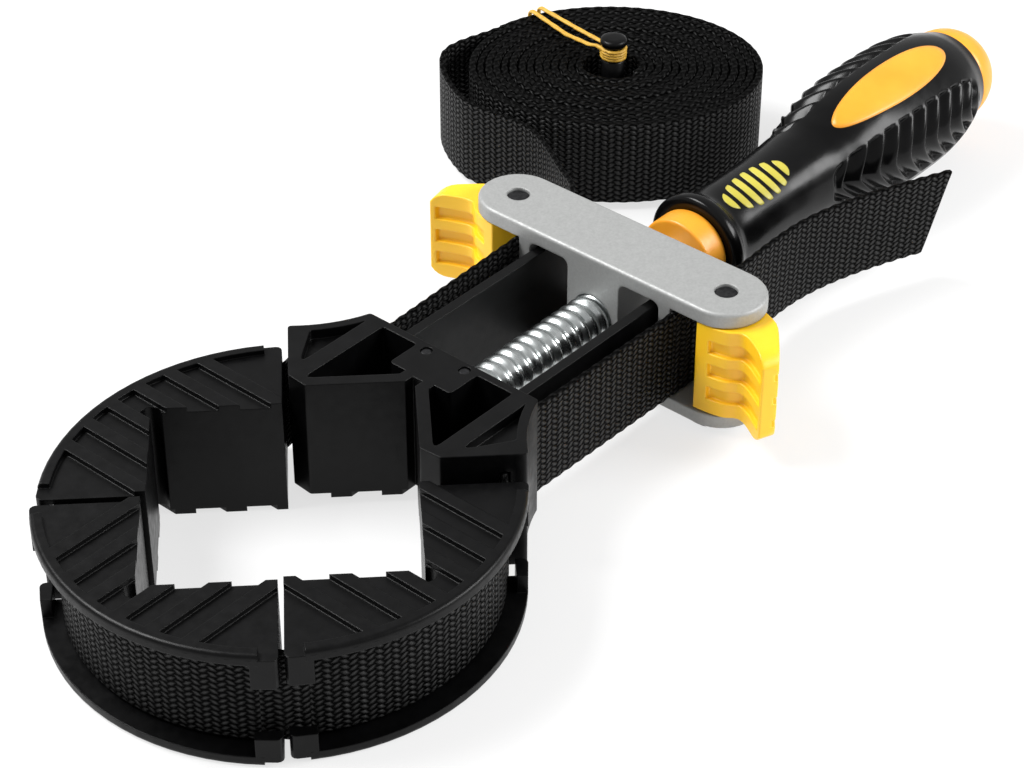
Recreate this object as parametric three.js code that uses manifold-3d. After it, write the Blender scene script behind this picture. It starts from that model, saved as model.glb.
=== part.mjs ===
// Woven-band frame clamp: a V-jaw head on two rails, a screw handle, a crosshead with two cam levers,
// three loose corner jaws and one long woven band. Lengths are in millimetres.
// +X runs along the screw from the ring to the handle, +Y to the left, +Z up.
// The origin is the centre of the crosshead's flat underside.
import * as THREE from "three";
import { mergeVertices } from "three/addons/utils/BufferGeometryUtils.js";
import Module from "manifold-3d";

const wasm = await Module();
wasm.setup();

const root2 = Math.SQRT2;
const circle_steps = 32;
const arc_steps = 18;

// band
const band_width = 25;
const band_thickness = 1.4;
const seat_gap = 0.3;
const joint_gap = 0.3;

// crosshead
const plate_thickness = 3.9;
const band_slack = 0.5;
const crosshead_height = band_width + 2 * (plate_thickness + band_slack);
const plate_radius = 10.1;
const pin_offset = 32.6;
const pin_radius = 2.9;
const running_clearance = 0.06;
const block_half = 8;
const web_outer = 23.7;
const web_thickness = 3.4;
const window_corner = 2;
const axis_z = crosshead_height / 2;

// band in the crosshead
const grip_offset = web_outer + seat_gap + band_thickness / 2;
const band_start = plate_radius + joint_gap;

// handle, section by section from the crosshead back
const collar_gap = 12.9;
const collar_radius = 10.9;
const collar_length = 7.3;
const lip_radius = 13.9;
const lip_length = 3.4;
const lip_slope = 4.3;
const waist_radius = 11.5;
const waist_length = 25;
const shoulder_length = 14;
const swell_front_radius = 12.8;
const swell_rise = 8;
const swell_start_radius = 15.5;
const swell_front_length = 18;
const swell_radius = 18.5;
const swell_back_length = 23;
const swell_end_radius = 18.2;
const grip_taper = 18;
const grip_end_radius = 13.6;
const dome_length = 7;
const dome_middle_radius = 11.8;
const dome_cap = 5.5;
const core_radius = 9;
const edge_round = 1.2;
const collar_front = plate_radius + collar_gap;
const lip_front = collar_front + collar_length;
const waist_front = lip_front + lip_length + lip_slope;
const waist_back = waist_front + waist_length;
const swell_front = waist_back + shoulder_length;
const swell_start = swell_front + swell_rise;
const swell_middle = swell_start + swell_front_length;
const swell_end = swell_middle + swell_back_length;
const grip_end = swell_end + grip_taper;
const dome_middle = grip_end + dome_length;
const handle_end = dome_middle + dome_cap;
const tang_depth = 7;
const tang_end = waist_back + tang_depth;
const inlay_turn = 24;
const inlay_shift = 1;
const inlay_centre = swell_middle + inlay_shift;
const inlay_half_length = 26;
const inlay_half_width = 6.6;
const stripe_shift = 11.5;
const stripe_centre = waist_front + stripe_shift;
const stripe_half_length = 12.5;
const stripe_half_width = 5.6;
const stripe_width = 2.3;
const stripe_pitch = 3.7;
const stripe_count = 7;
const inlay_gap = 0.1;

// head
const head_back = 61;
const head_half_height = 15.8;
const head_bottom = axis_z - head_half_height;
const head_top = axis_z + head_half_height;
const head_gap = 2.3;
const head_depth = 12.95938;

// ring of jaws
const rim_radius = 55;
const jaw_depth = 24;
const opening_half = rim_radius - jaw_depth;
const ring_distance = head_back + head_depth + opening_half * root2;
const jaw_clearance = 1.2;
const flange_thickness = 1.4;
const flange_slack = 0.3;
const rib_height = 1.3;
const rib_width = 3.4;
const rib_first = 4.2;
const rib_pitch = 8.4;
const rib_count = 3;
const slot_depth = 6.4;
const band_seat_radius = rim_radius - slot_depth;
const band_radius = band_seat_radius + seat_gap + band_thickness / 2;
const bead_width = 2.2;
const bead_end = 5.5;
const lug_length = 6;
const lug_clearance = 1.7;
const lug_inner = band_radius + band_thickness / 2 + lug_clearance;
const lug_height_top = 7.8;
const lug_height_bottom = 6.4;
const relief_radius = 2.4;
const corner_round = 1.4;
const bead_overlap = 0.5;
const pocket_length = 4.2;
const stand_off = 0.6;
const floor_z = axis_z - swell_radius - stand_off;
const jaw_bottom = floor_z + rib_height;
const slot_bottom = jaw_bottom + flange_thickness;
const slot_top = slot_bottom + band_width + 2 * flange_slack;
const jaw_top = slot_top + flange_thickness;
const jaw_mid = (slot_bottom + slot_top) / 2;

// the loose jaws lie a little off their even places
const left_jaw_p = 1.9;
const left_jaw_q = -1.2;
const front_jaw_p = 0.8;
const front_jaw_q = -0.6;
const right_jaw_p = -0.4;
const right_jaw_q = 0.3;

// head's pads, wings, pockets and channel
const pad_start = 6.1;
const chamfer_depth = 4.4;
const wing_inset = 0.2;
const wing_reach = rim_radius - wing_inset;
const exit_inset = 1.4;
const exit_offset = grip_offset - exit_inset;
const wing_beyond = 2.7;
const wing_tip = exit_offset + wing_beyond;
const wing_arc_radius = 38;
const wing_wall = 2.2;
const pad_wall = 3;
const back_wall = 2.1;
const head_corner = 1;
const gentle_turn = 160;
const deep_floor_wall = 2.9;
const deep_floor = head_bottom + deep_floor_wall;
const deep_side = 20.1;
const deep_tail = 4.4;
const shallow_depth = 2.6;
const shallow_floor = head_top - shallow_depth;
const shallow_side = 24.7;
const side_wall = 2.5;
const centre_block_half = 9.3;
const centre_block_length = 11.3;
const apex_slot_half = 1.5;
const apex_slot_depth = 1.0;
const channel_side = 0.5;
const channel_top = 0.3;
const mouth_drop = 1.8;
const mouth_mid = axis_z - mouth_drop;
const exit_drop = 0.8;
const exit_mid = axis_z - exit_drop;

// rails
const rail_clearance = 1.4;
const rail_outer = web_outer - web_thickness - rail_clearance;
const rail_thickness = 2.6;
const rail_half_height = 11.5;
const rail_overhang = 0.9;
const rail_end = plate_radius + rail_overhang;

// screw
const screw_radius = 6;
const screw_entry = 8.8;
const neck_radius = 4.2;
const neck_pin_radius = 1.4;
const neck_pin_overlap = 0.1;
const neck_pin_offset = screw_radius - neck_pin_overlap;
const neck_pin_setback = 2.5;
const neck_pin_floor = 4.9;
const neck_pin_bottom = head_bottom + neck_pin_floor;
const neck_slack = 0.4;
const neck_pin_sink = 0.3;

// levers
const lever_clearance = 0.4;
const lever_bottom = plate_thickness + lever_clearance;
const lever_top = crosshead_height - plate_thickness - lever_clearance;
const cam_radius = 6.2;
const cam_shift_back = 1.2;
const cam_reach = pin_offset - grip_offset - band_thickness / 2 - seat_gap;
const lever_front = 9.8;
const lever_front_side = -0.3;
const root_back = 5.5;
const root_back_out = 8.3;
const blade_back = 3.9;
const blade_back_out = 13.5;
const blade_bend = 1.2;
const blade_bend_out = 19.2;
const tip_back = 5.3;
const tip_back_out = 23.4;
const tip_front = 9.2;
const tip_front_out = 21.9;
const hollow_x = 6;
const hollow_out = 15;
const throat_x = 5.2;
const throat_out = 11;
const knuckle_x = 7.4;
const knuckle_out = 8.3;
const knuckle_front = 8.8;
const knuckle_front_out = 4.7;
const groove_depth = 1.4;
const groove_height = 3.6;
const groove_pitch = 6.7;
const groove_count = 3;
const back_groove_out = 15.5;
const lever_corner = 5;
const right_lever_lean = 8;

// tail
const tail_waist_x = 37;
const tail_waist_y = 23.8;
const tail_end_x = 87.5;
const tail_end_y = 38.3;
const tail_lean = 0.8;
const tail_steps = 20;
const tail_slant = 6;
const tail_slant_steps = 4;

// coil and lead
const coil_x = 78.9;
const coil_y = 65.8;
const coil_radius = 33.2;
const coil_long_radius = 41.2;
const coil_long_angle = -50;
const coil_pitch = 1.85;
const coil_hole_radius = 6.4;
const coil_turns = Math.round((2 * (coil_radius - coil_hole_radius)) / coil_pitch) / 2;
const coil_lift = 1.7;
const coil_steps = 24;
const coil_end_angle = 90;
const coil_bottom = floor_z + coil_lift;
const coil_top = coil_bottom + band_width;
const lead_start_x = 4;
const lead_start_pull = 9;
const lead_leave_pull = 6;
const lead_leave_x = 23;
const lead_leave_y = 35.8;
const lead_turn_x = 38;
const lead_turn_y = 62;
const lead_waist_x = 38.6;
const lead_waist_y = 86;
const lead_far_x = 54;
const lead_far_y = 106.4;
const lead_steps = 16;

// peg and elastic
const peg_radius = 3.2;
const peg_foot_radius = 2;
const peg_neck_radius = 2.5;
const peg_angle = 45;
const peg_neck_lift = 0.7;
const peg_neck_height = 4.4;
const peg_head_radius = 3.7;
const peg_head_height = 2.2;
const peg_neck_bottom = coil_top + peg_neck_lift;
const peg_neck_top = peg_neck_bottom + peg_neck_height;
const peg_top = peg_neck_top + peg_head_height;
const elastic_radius = 0.5;
const elastic_wraps = 3;
const elastic_angle = 78;
const elastic_sides = 6;
const elastic_spread = 3.2;
const elastic_bend = 1.6;

const colors = {
  nylon: 0x17181a,
  metal: 0xa9abac,
  steel: 0x3b3c3e,
  zinc: 0xc9cccf,
  yellow: 0xf6b21b,
  grip: 0x121313,
  band: 0x0e0f10,
};

const radians = THREE.MathUtils.degToRad;

// A closed manifold from a three.js geometry.
function solid(geometry) {
  const bare = new THREE.BufferGeometry();
  bare.setAttribute("position", geometry.getAttribute("position"));
  if (geometry.index) bare.setIndex(geometry.index);
  const merged = mergeVertices(bare, 1e-5);
  return new wasm.Manifold(new wasm.Mesh({
    numProp: 3,
    vertProperties: new Float32Array(merged.attributes.position.array),
    triVerts: new Uint32Array(merged.index.array),
  }));
}

function mesh(name, body, color) {
  const data = body.getMesh();
  const geometry = new THREE.BufferGeometry();
  geometry.setAttribute("position", new THREE.BufferAttribute(new Float32Array(data.vertProperties), 3));
  geometry.setIndex(new THREE.BufferAttribute(new Uint32Array(data.triVerts), 1));
  geometry.computeVertexNormals();
  const result = new THREE.Mesh(geometry, new THREE.MeshStandardMaterial({ color }));
  result.name = name;
  return result;
}

function box(x0, x1, y0, y1, z0, z1) {
  const geometry = new THREE.BoxGeometry(x1 - x0, y1 - y0, z1 - z0);
  geometry.translate((x0 + x1) / 2, (y0 + y1) / 2, (z0 + z1) / 2);
  return solid(geometry);
}

// A plan outline raised from z0 to z1.
function raise(points, z0, z1) {
  const shape = new THREE.Shape(points.map(([x, y]) => new THREE.Vector2(x, y)));
  const geometry = new THREE.ExtrudeGeometry(shape, { depth: z1 - z0, bevelEnabled: false });
  geometry.translate(0, 0, z0);
  return solid(geometry);
}

function disc(x, y, radius, z0, z1) {
  const geometry = new THREE.CylinderGeometry(radius, radius, z1 - z0, circle_steps);
  geometry.rotateX(Math.PI / 2);
  geometry.translate(x, y, (z0 + z1) / 2);
  return solid(geometry);
}

// A profile of [x, radius] pairs turned about the screw's axis.
function turned(profile) {
  const points = profile.map(([x, r]) => new THREE.Vector2(r, x));
  const geometry = new THREE.LatheGeometry(points, circle_steps);
  geometry.rotateZ(-Math.PI / 2);
  geometry.translate(0, 0, axis_z);
  return solid(geometry);
}

function upright(profile, x, y) {
  const points = profile.map(([r, z]) => new THREE.Vector2(r, z));
  const geometry = new THREE.LatheGeometry(points, circle_steps);
  geometry.rotateX(Math.PI / 2);
  geometry.translate(x, y, 0);
  return solid(geometry);
}

function mirrored(body) {
  return body.mirror([0, 1, 0]);
}

function arc(cx, cy, radius, from, to, steps) {
  return Array.from({ length: steps + 1 }, (_, i) => {
    const angle = from + ((to - from) * i) / steps;
    return [cx + radius * Math.cos(angle), cy + radius * Math.sin(angle)];
  });
}

// Rounds the sharp corners of a plan outline and leaves its gentle turns.
function rounded(points, radius) {
  const count = points.length;
  return points.flatMap(([x, y], i) => {
    const corner = new THREE.Vector2(x, y);
    const before = new THREE.Vector2(...points[(i + count - 1) % count]).sub(corner);
    const after = new THREE.Vector2(...points[(i + 1) % count]).sub(corner);
    const opening = before.angleTo(after);
    const cut = radius / Math.tan(opening / 2);
    const room = Math.min(before.length(), after.length()) / 2;
    if (opening > radians(gentle_turn) || cut > room) return [[x, y]];
    const start = before.setLength(cut).add(corner);
    const end = after.setLength(cut).add(corner);
    const curve = new THREE.QuadraticBezierCurve(start, corner, end);
    return curve.getPoints(3).map((point) => [point.x, point.y]);
  });
}

// A standing strip along plan points: x, y, middle height, lean of the top edge, shortening of the lower.
function ribbon(path, thickness, width) {
  const positions = [];
  const indices = [];
  path.forEach(([x, y, mid, lean = 0, slant = 0], i) => {
    const a = path[Math.max(i - 1, 0)];
    const b = path[Math.min(i + 1, path.length - 1)];
    const length = Math.hypot(b[0] - a[0], b[1] - a[1]);
    const nx = -(b[1] - a[1]) / length;
    const ny = (b[0] - a[0]) / length;
    for (const [side, edge] of [[-1, -1], [1, -1], [1, 1], [-1, 1]]) {
      const across = (side * thickness) / 2 + edge * lean;
      const back = edge < 0 ? slant : 0;
      positions.push(x + nx * across - ny * back, y + ny * across + nx * back, mid + (edge * width) / 2);
    }
  });
  for (let i = 0; i < path.length - 1; i += 1) {
    for (let k = 0; k < 4; k += 1) {
      const a = 4 * i + k;
      const b = 4 * i + ((k + 1) % 4);
      indices.push(a, b, b + 4, a, b + 4, a + 4);
    }
  }
  const last = 4 * (path.length - 1);
  indices.push(0, 2, 1, 0, 3, 2);
  indices.push(last, last + 1, last + 2, last, last + 2, last + 3);
  const geometry = new THREE.BufferGeometry();
  geometry.setAttribute("position", new THREE.Float32BufferAttribute(positions, 3));
  geometry.setIndex(indices);
  const body = solid(geometry);
  return body.volume() > 0 ? body : solid(flipped(geometry));
}

function flipped(geometry) {
  const index = geometry.index.array;
  const turned_over = [];
  for (let i = 0; i < index.length; i += 3) turned_over.push(index[i], index[i + 2], index[i + 1]);
  geometry.setIndex(turned_over);
  return geometry;
}

// Ring coordinates: q runs to the left gap of the head, p to its right gap.
function ring(p, q) {
  return [-ring_distance + (p + q) / root2, (q - p) / root2];
}

function bezier(from, pull_from, pull_to, to, steps) {
  const curve = new THREE.CubicBezierCurve(
    new THREE.Vector2(...from),
    new THREE.Vector2(...pull_from),
    new THREE.Vector2(...pull_to),
    new THREE.Vector2(...to),
  );
  return curve.getPoints(steps).map((point) => [point.x, point.y]);
}

// Corner jaw, built with its own diagonal along +X about the ring's centre.
function jawOutline(radius) {
  const inset = jaw_clearance + corner_round;
  const reach = Math.sqrt((radius - corner_round) ** 2 - inset ** 2);
  const [x, y] = jawTurn(reach, inset);
  const lean = Math.atan2(y, x);
  const bend = radians(135);
  return [
    jawTurn(jaw_clearance, opening_half),
    jawTurn(opening_half, opening_half),
    jawTurn(opening_half, jaw_clearance),
    ...arc(x, y, corner_round, -bend, lean, 3),
    ...arc(0, 0, radius, lean, -lean, arc_steps).slice(1, -1),
    ...arc(x, -y, corner_round, -lean, bend, 3),
  ];
}

function jawTurn(p, q) {
  return [(p + q) / root2, (q - p) / root2];
}

function jawRibs() {
  const ribs = [];
  for (let i = 0; i < rib_count; i += 1) {
    for (const side of [-1, 1]) {
      const y = side * (rib_first + i * rib_pitch);
      ribs.push(box(0, rim_radius, y - rib_width / 2, y + rib_width / 2, floor_z, jaw_top + rib_height));
    }
  }
  const all = ribs.reduce((sum, rib) => sum.add(rib));
  const land = jawOutline(rim_radius - bead_width);
  return all.intersect(raise(land, floor_z, jaw_top + rib_height));
}

function jawBead() {
  const angle = Math.PI / 4 - bead_end / rim_radius;
  const outer = arc(0, 0, rim_radius, -angle, angle, arc_steps);
  const inner = arc(0, 0, rim_radius - bead_width - bead_overlap, angle, -angle, arc_steps);
  return raise([...outer, ...inner], floor_z, jaw_top + rib_height);
}

function jawLug(z0, z1) {
  const far = jaw_clearance + lug_length;
  const beyond = rim_radius + bead_width;
  const corner = raise([
    jawTurn(0, lug_inner),
    jawTurn(far, lug_inner),
    jawTurn(far, beyond),
    jawTurn(0, beyond),
  ], z0, z1);
  return corner.intersect(raise(jawOutline(rim_radius), z0, z1));
}

function fullRing(radius, z0, z1) {
  return raise(arc(0, 0, radius, 0, 2 * Math.PI, 4 * arc_steps).slice(1), z0, z1);
}

function jaw() {
  const body = raise(jawOutline(rim_radius), jaw_bottom, jaw_top).add(jawRibs()).add(jawBead());
  const seat = fullRing(band_seat_radius, floor_z, jaw_top);
  const slot = fullRing(rim_radius + bead_width, slot_bottom, slot_top).subtract(seat);
  const upper_lug = jawLug(jaw_top - lug_height_top, jaw_top);
  const lug = upper_lug.add(jawLug(jaw_bottom, jaw_bottom + lug_height_bottom));
  const relief = disc(opening_half * root2, 0, relief_radius, floor_z - rib_height, jaw_top + 2 * rib_height);
  return body.subtract(slot).add(lug).add(mirrored(lug)).subtract(relief);
}

function placedJaw(name, angle, p, q) {
  const body = jaw().rotate([0, 0, angle]).translate([...ring(p, q), 0]);
  return mesh(name, body, colors.nylon);
}

// Band pieces of the ring.
function bandArc(name, angle, p, q) {
  const cover = (jaw_clearance + pocket_length + joint_gap) / band_radius;
  const path = arc(0, 0, band_radius, -Math.PI / 4 + cover, Math.PI / 4 - cover, arc_steps);
  const body = ribbon(path.map(([x, y]) => [x, y, jaw_mid]), band_thickness, band_width);
  return mesh(name, body.rotate([0, 0, angle]).translate([...ring(p, q), 0]), colors.band);
}

// The band across the gap between two jaws. Each jaw's shift is given along the gap and out from the ring.
function bandGap(name, place, from, to) {
  const inside = jaw_clearance + pocket_length;
  const level = Math.sqrt(band_radius ** 2 - inside ** 2);
  const top = band_radius + Math.max(from.out, to.out);
  const plan = [
    place(from.along - inside, level + from.out),
    place(from.along - jaw_clearance, top),
    place(to.along + jaw_clearance, top),
    place(to.along + inside, level + to.out),
  ];
  return mesh(name, ribbon(plan.map(([x, y]) => [x, y, jaw_mid]), band_thickness, band_width), colors.band);
}

function headGap(name, place, jaw_shift) {
  const inside = jaw_clearance + pocket_length;
  const beyond = head_gap + pocket_length;
  const level = Math.sqrt(band_radius ** 2 - inside ** 2);
  const top = band_radius + Math.max(jaw_shift.out, 0);
  const path = [
    [...place(jaw_shift.along - inside, level + jaw_shift.out), jaw_mid],
    [...place(jaw_shift.along - jaw_clearance, top), jaw_mid],
    [...place(head_gap, band_radius), mouth_mid],
    [...place(beyond, band_radius), mouth_mid + mouthRise(beyond)],
  ];
  return mesh(name, ribbon(path, band_thickness, band_width), colors.band);
}

// The band climbs from the head's mouth to its back face in step with its plan distance.
function mouthRise(along) {
  const whole = (ring_distance - head_back) * root2 - band_radius - head_gap;
  return ((exit_mid - mouth_mid) * (along - head_gap)) / whole;
}

// The band's way through the head: straight on from the ring, then round to the rail.
const exit_angle = Math.atan2(grip_offset - exit_offset, head_back - band_start);
const channel_radius = channelRadius();

function channelRadius() {
  const fit = Math.sin(exit_angle) - Math.cos(exit_angle) + root2;
  return (ring_distance - head_back + exit_offset - band_radius * root2) / fit;
}

function channelPath(start, beyond) {
  const bend_x = -head_back - channel_radius * (Math.sin(exit_angle) + 1 / root2);
  const bend_y = exit_offset + channel_radius * (Math.cos(exit_angle) - 1 / root2);
  const centre_x = bend_x + channel_radius / root2;
  const centre_y = bend_y + channel_radius / root2;
  const bend = arc(centre_x, centre_y, channel_radius, radians(225), radians(270) + exit_angle, 10);
  const end = bend[bend.length - 1];
  const path = [ring(start, band_radius), ...bend];
  if (beyond > 0) path.push([end[0] + beyond * Math.cos(exit_angle), end[1] + beyond * Math.sin(exit_angle)]);
  return path.map(([x, y]) => {
    const along = (x + ring_distance - y) / root2;
    return [x, y, mouth_mid + mouthRise(along)];
  });
}

function channelCutter() {
  const path = channelPath(0, back_wall);
  return ribbon(path, band_thickness + 2 * channel_side, band_width + 2 * channel_top);
}

// Head: outline, pockets, channel, bore and rails.
function wingArc(offset) {
  const [x0, y0] = ring(head_gap, wing_reach);
  const x1 = -head_back;
  const y1 = wing_tip;
  const half = Math.hypot(x1 - x0, y1 - y0) / 2;
  const rise = Math.sqrt(wing_arc_radius ** 2 - half ** 2);
  const ux = (x1 - x0) / (2 * half);
  const uy = (y1 - y0) / (2 * half);
  const cx = (x0 + x1) / 2 - uy * rise;
  const cy = (y0 + y1) / 2 + ux * rise;
  const from = Math.atan2(y0 - cy, x0 - cx);
  const to = Math.atan2(y1 - cy, x1 - cx);
  return arc(cx, cy, wing_arc_radius + offset, from, to, 8);
}

function headOutline() {
  const left = [
    ring(pad_start, opening_half),
    ring(head_gap, opening_half + chamfer_depth),
    ...wingArc(0),
  ];
  const right = left.map(([x, y]) => [x, -y]).reverse();
  return rounded([ring(opening_half, opening_half), ...left, ...right], head_corner);
}

function deepPocket() {
  const inner = opening_half + pad_wall;
  const line = (y) => -ring_distance + inner * root2 - y;
  const front = -head_back - centre_block_length;
  const outline = [
    [line(deep_side), deep_side],
    [-head_back - back_wall, deep_side],
    [-head_back - back_wall, centre_block_half],
    [front, centre_block_half],
    [front, deep_tail],
    [line(deep_tail), deep_tail],
  ];
  return raise(rounded(outline, head_corner), deep_floor, head_top + rib_height);
}

function shallowPocket() {
  const corner = head_gap + side_wall;
  const limit = -head_back - back_wall;
  const start = ring(corner, (shallow_side - ring(corner, 0)[1]) * root2);
  const wall = wingArc(wing_wall).filter(([x, y]) => y > shallow_side && x < limit);
  const inside = wall.filter(([x, y]) => (x + ring_distance - y) / root2 > corner);
  const outline = [start, ...inside, [inside[inside.length - 1][0], shallow_side]];
  return raise(rounded(outline, head_corner), shallow_floor, head_top + rib_height);
}

function rail() {
  const bottom = axis_z - rail_half_height;
  const top = axis_z + rail_half_height;
  return box(-head_back - back_wall / 2, rail_end, rail_outer - rail_thickness, rail_outer, bottom, top);
}

function headRibs() {
  const ribs = [];
  const half = rib_width / 2;
  for (let i = 0; i < rib_count - 1; i += 1) {
    for (const side of [-1, 1]) {
      const y = side * (rib_first + i * rib_pitch);
      const front = -ring_distance + opening_half * root2 - Math.abs(y) - half;
      ribs.push(box(front, -head_back, y - half, y + half, head_bottom - rib_height, head_top));
    }
  }
  const all = ribs.reduce((sum, rib) => sum.add(rib));
  return all.intersect(raise(headOutline(), head_bottom - rib_height, head_bottom + rib_height));
}

function neckHole(side) {
  const radius = neck_pin_radius + running_clearance;
  const x = -head_back - neck_pin_setback;
  return disc(x, side * neck_pin_offset, radius, neck_pin_bottom, head_top + rib_height);
}

function screwBore(from, to, radius) {
  return turned([[from, 0], [from, radius], [to, radius], [to, 0]]);
}

function headFrame() {
  let body = raise(headOutline(), head_bottom, head_top).add(headRibs());
  const apex = -ring_distance + opening_half * root2;
  const cuts = [channelCutter(), deepPocket(), shallowPocket()];
  for (const cut of cuts) body = body.subtract(cut).subtract(mirrored(cut));
  const slot_end = apex + apex_slot_depth;
  const above = 2 * head_top;
  body = body.subtract(box(apex - rib_pitch, slot_end, -apex_slot_half, apex_slot_half, floor_z, above));
  const bore_radius = screw_radius + running_clearance;
  body = body.subtract(screwBore(-head_back - screw_entry, -head_back + back_wall, bore_radius));
  body = body.subtract(neckHole(1)).subtract(neckHole(-1));
  body = body.add(rail()).add(mirrored(rail()));
  return mesh("head_frame", body, colors.nylon);
}

function neckPin(name, side) {
  const x = -head_back - neck_pin_setback;
  const floor = neck_pin_bottom + neck_pin_sink;
  const body = disc(x, side * neck_pin_offset, neck_pin_radius, floor, head_top - neck_pin_sink);
  return mesh(name, body, colors.steel);
}

function screw() {
  const start = -head_back - screw_entry + joint_gap;
  const neck_from = -head_back - neck_pin_setback - neck_pin_radius - neck_slack;
  const neck_to = -head_back - neck_pin_setback + neck_pin_radius + neck_slack;
  const body = turned([
    [start, 0],
    [start, screw_radius - edge_round],
    [start + edge_round, screw_radius],
    [neck_from, screw_radius],
    [neck_from, neck_radius],
    [neck_to, neck_radius],
    [neck_to, screw_radius],
    [tang_end, screw_radius],
    [tang_end, 0],
  ]);
  return mesh("screw", body, colors.zinc);
}

// Handle: a hard core with inlays that fill windows in the soft grip.
function gripSolid() {
  return turned([
    [lip_front, 0],
    [lip_front, lip_radius - edge_round],
    [lip_front + edge_round, lip_radius],
    [lip_front + lip_length, lip_radius],
    [waist_front, waist_radius],
    [(waist_front + waist_back) / 2, waist_radius],
    [waist_back, waist_radius],
    [swell_front, swell_front_radius],
    [swell_start, swell_start_radius],
    [swell_middle, swell_radius],
    [swell_end, swell_end_radius],
    [grip_end, grip_end_radius],
    [grip_end, 0],
  ]);
}

function ovalOutline(centre, half_length, half_width) {
  const steps = 24;
  return Array.from({ length: steps }, (_, i) => {
    const angle = (2 * Math.PI * i) / steps;
    return [centre + half_length * Math.cos(angle), half_width * Math.sin(angle)];
  });
}

function inlays(gap) {
  const top = axis_z + 2 * swell_radius;
  let body = raise(
    ovalOutline(inlay_centre, inlay_half_length - gap, inlay_half_width - gap),
    axis_z,
    top,
  );
  const oval_outline = ovalOutline(stripe_centre, stripe_half_length - gap, stripe_half_width - gap);
  const oval = raise(oval_outline, axis_z, top);
  for (let i = 0; i < stripe_count; i += 1) {
    const x = stripe_centre + (i - (stripe_count - 1) / 2) * stripe_pitch;
    const half = stripe_width / 2 - gap;
    body = body.add(oval.intersect(box(x - half, x + half, -swell_radius, swell_radius, axis_z, top)));
  }
  return body.translate([0, 0, -axis_z]).rotate([inlay_turn, 0, 0]).translate([0, 0, axis_z]);
}

function handleCore() {
  const stem = turned([
    [collar_front, 0],
    [collar_front, collar_radius - edge_round],
    [collar_front + edge_round, collar_radius],
    [lip_front - joint_gap, collar_radius],
    [lip_front - joint_gap, core_radius],
    [grip_end + joint_gap, core_radius],
    [grip_end + joint_gap, grip_end_radius],
    [dome_middle, dome_middle_radius],
    [handle_end, collar_radius / 3],
    [handle_end, 0],
  ]);
  const pads = gripSolid().intersect(inlays(inlay_gap));
  const tang = screwBore(0, tang_end + joint_gap, screw_radius + running_clearance);
  return mesh("handle_core", stem.add(pads).subtract(tang), colors.yellow);
}

function handleGrip() {
  const bore = screwBore(0, handle_end, core_radius + running_clearance);
  return mesh("handle_grip", gripSolid().subtract(inlays(0)).subtract(bore), colors.grip);
}

// Crosshead: two plates joined by the screw's block and two thin webs.
function stadium(z0, z1) {
  const points = [
    ...arc(0, pin_offset, plate_radius, 0, Math.PI, circle_steps / 2),
    ...arc(0, -pin_offset, plate_radius, Math.PI, 2 * Math.PI, circle_steps / 2),
  ];
  return raise(points, z0, z1);
}

// A round-cornered window between the block and a web, cut along the screw's direction.
function crossheadWindow() {
  const low = plate_thickness + window_corner;
  const high = crosshead_height - plate_thickness - window_corner;
  const inner = block_half + window_corner;
  const outer = web_outer - web_thickness - window_corner;
  const outline = [
    ...arc(outer, high, window_corner, 0, Math.PI / 2, 4),
    ...arc(inner, high, window_corner, Math.PI / 2, Math.PI, 4),
    ...arc(inner, low, window_corner, Math.PI, Math.PI * 1.5, 4),
    ...arc(outer, low, window_corner, Math.PI * 1.5, Math.PI * 2, 4),
  ];
  return raise(outline, -2 * plate_radius, 2 * plate_radius).rotate([90, 0, 90]);
}

function crosshead() {
  const low = plate_thickness;
  const high = crosshead_height - plate_thickness;
  const middle = box(-plate_radius, plate_radius, -web_outer, web_outer, low, high);
  let body = stadium(0, low).add(stadium(high, crosshead_height)).add(middle);
  body = body.subtract(crossheadWindow()).subtract(mirrored(crossheadWindow()));
  for (const side of [-1, 1]) {
    const bore = pin_radius + running_clearance / 3;
    const above = crosshead_height + plate_thickness;
    body = body.subtract(disc(0, side * pin_offset, bore, -plate_thickness, above));
  }
  const bore = screwBore(-2 * plate_radius, 2 * plate_radius, screw_radius + running_clearance);
  return mesh("crosshead", body.subtract(bore), colors.metal);
}

function pivotPin(name, side) {
  const top = crosshead_height - neck_pin_sink;
  return mesh(name, disc(0, side * pin_offset, pin_radius, neck_pin_sink, top), colors.steel);
}

// Cam lever of the right side, about its pin: x runs back, y towards the band.
function leverFront() {
  const curve = new THREE.SplineCurve([
    new THREE.Vector2(-tip_front, -tip_front_out),
    new THREE.Vector2(-hollow_x, -hollow_out),
    new THREE.Vector2(-throat_x, -throat_out),
    new THREE.Vector2(-knuckle_x, -knuckle_out),
    new THREE.Vector2(-knuckle_front, -knuckle_front_out),
    new THREE.Vector2(-lever_front, lever_front_side),
  ]);
  return curve.getPoints(20).map((point) => [point.x, point.y]);
}

function leverOutline() {
  const cam_y = cam_reach - cam_radius;
  const back = new THREE.SplineCurve([
    new THREE.Vector2(root_back, -root_back_out),
    new THREE.Vector2(blade_back, -blade_back_out),
    new THREE.Vector2(-blade_bend, -blade_bend_out),
    new THREE.Vector2(-tip_back, -tip_back_out),
  ]);
  return [
    ...leverFront(),
    ...arc(cam_shift_back, cam_y, cam_radius, radians(132), radians(-15), 14),
    ...back.getPoints(10).map((point) => [point.x, point.y]),
  ];
}

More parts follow.
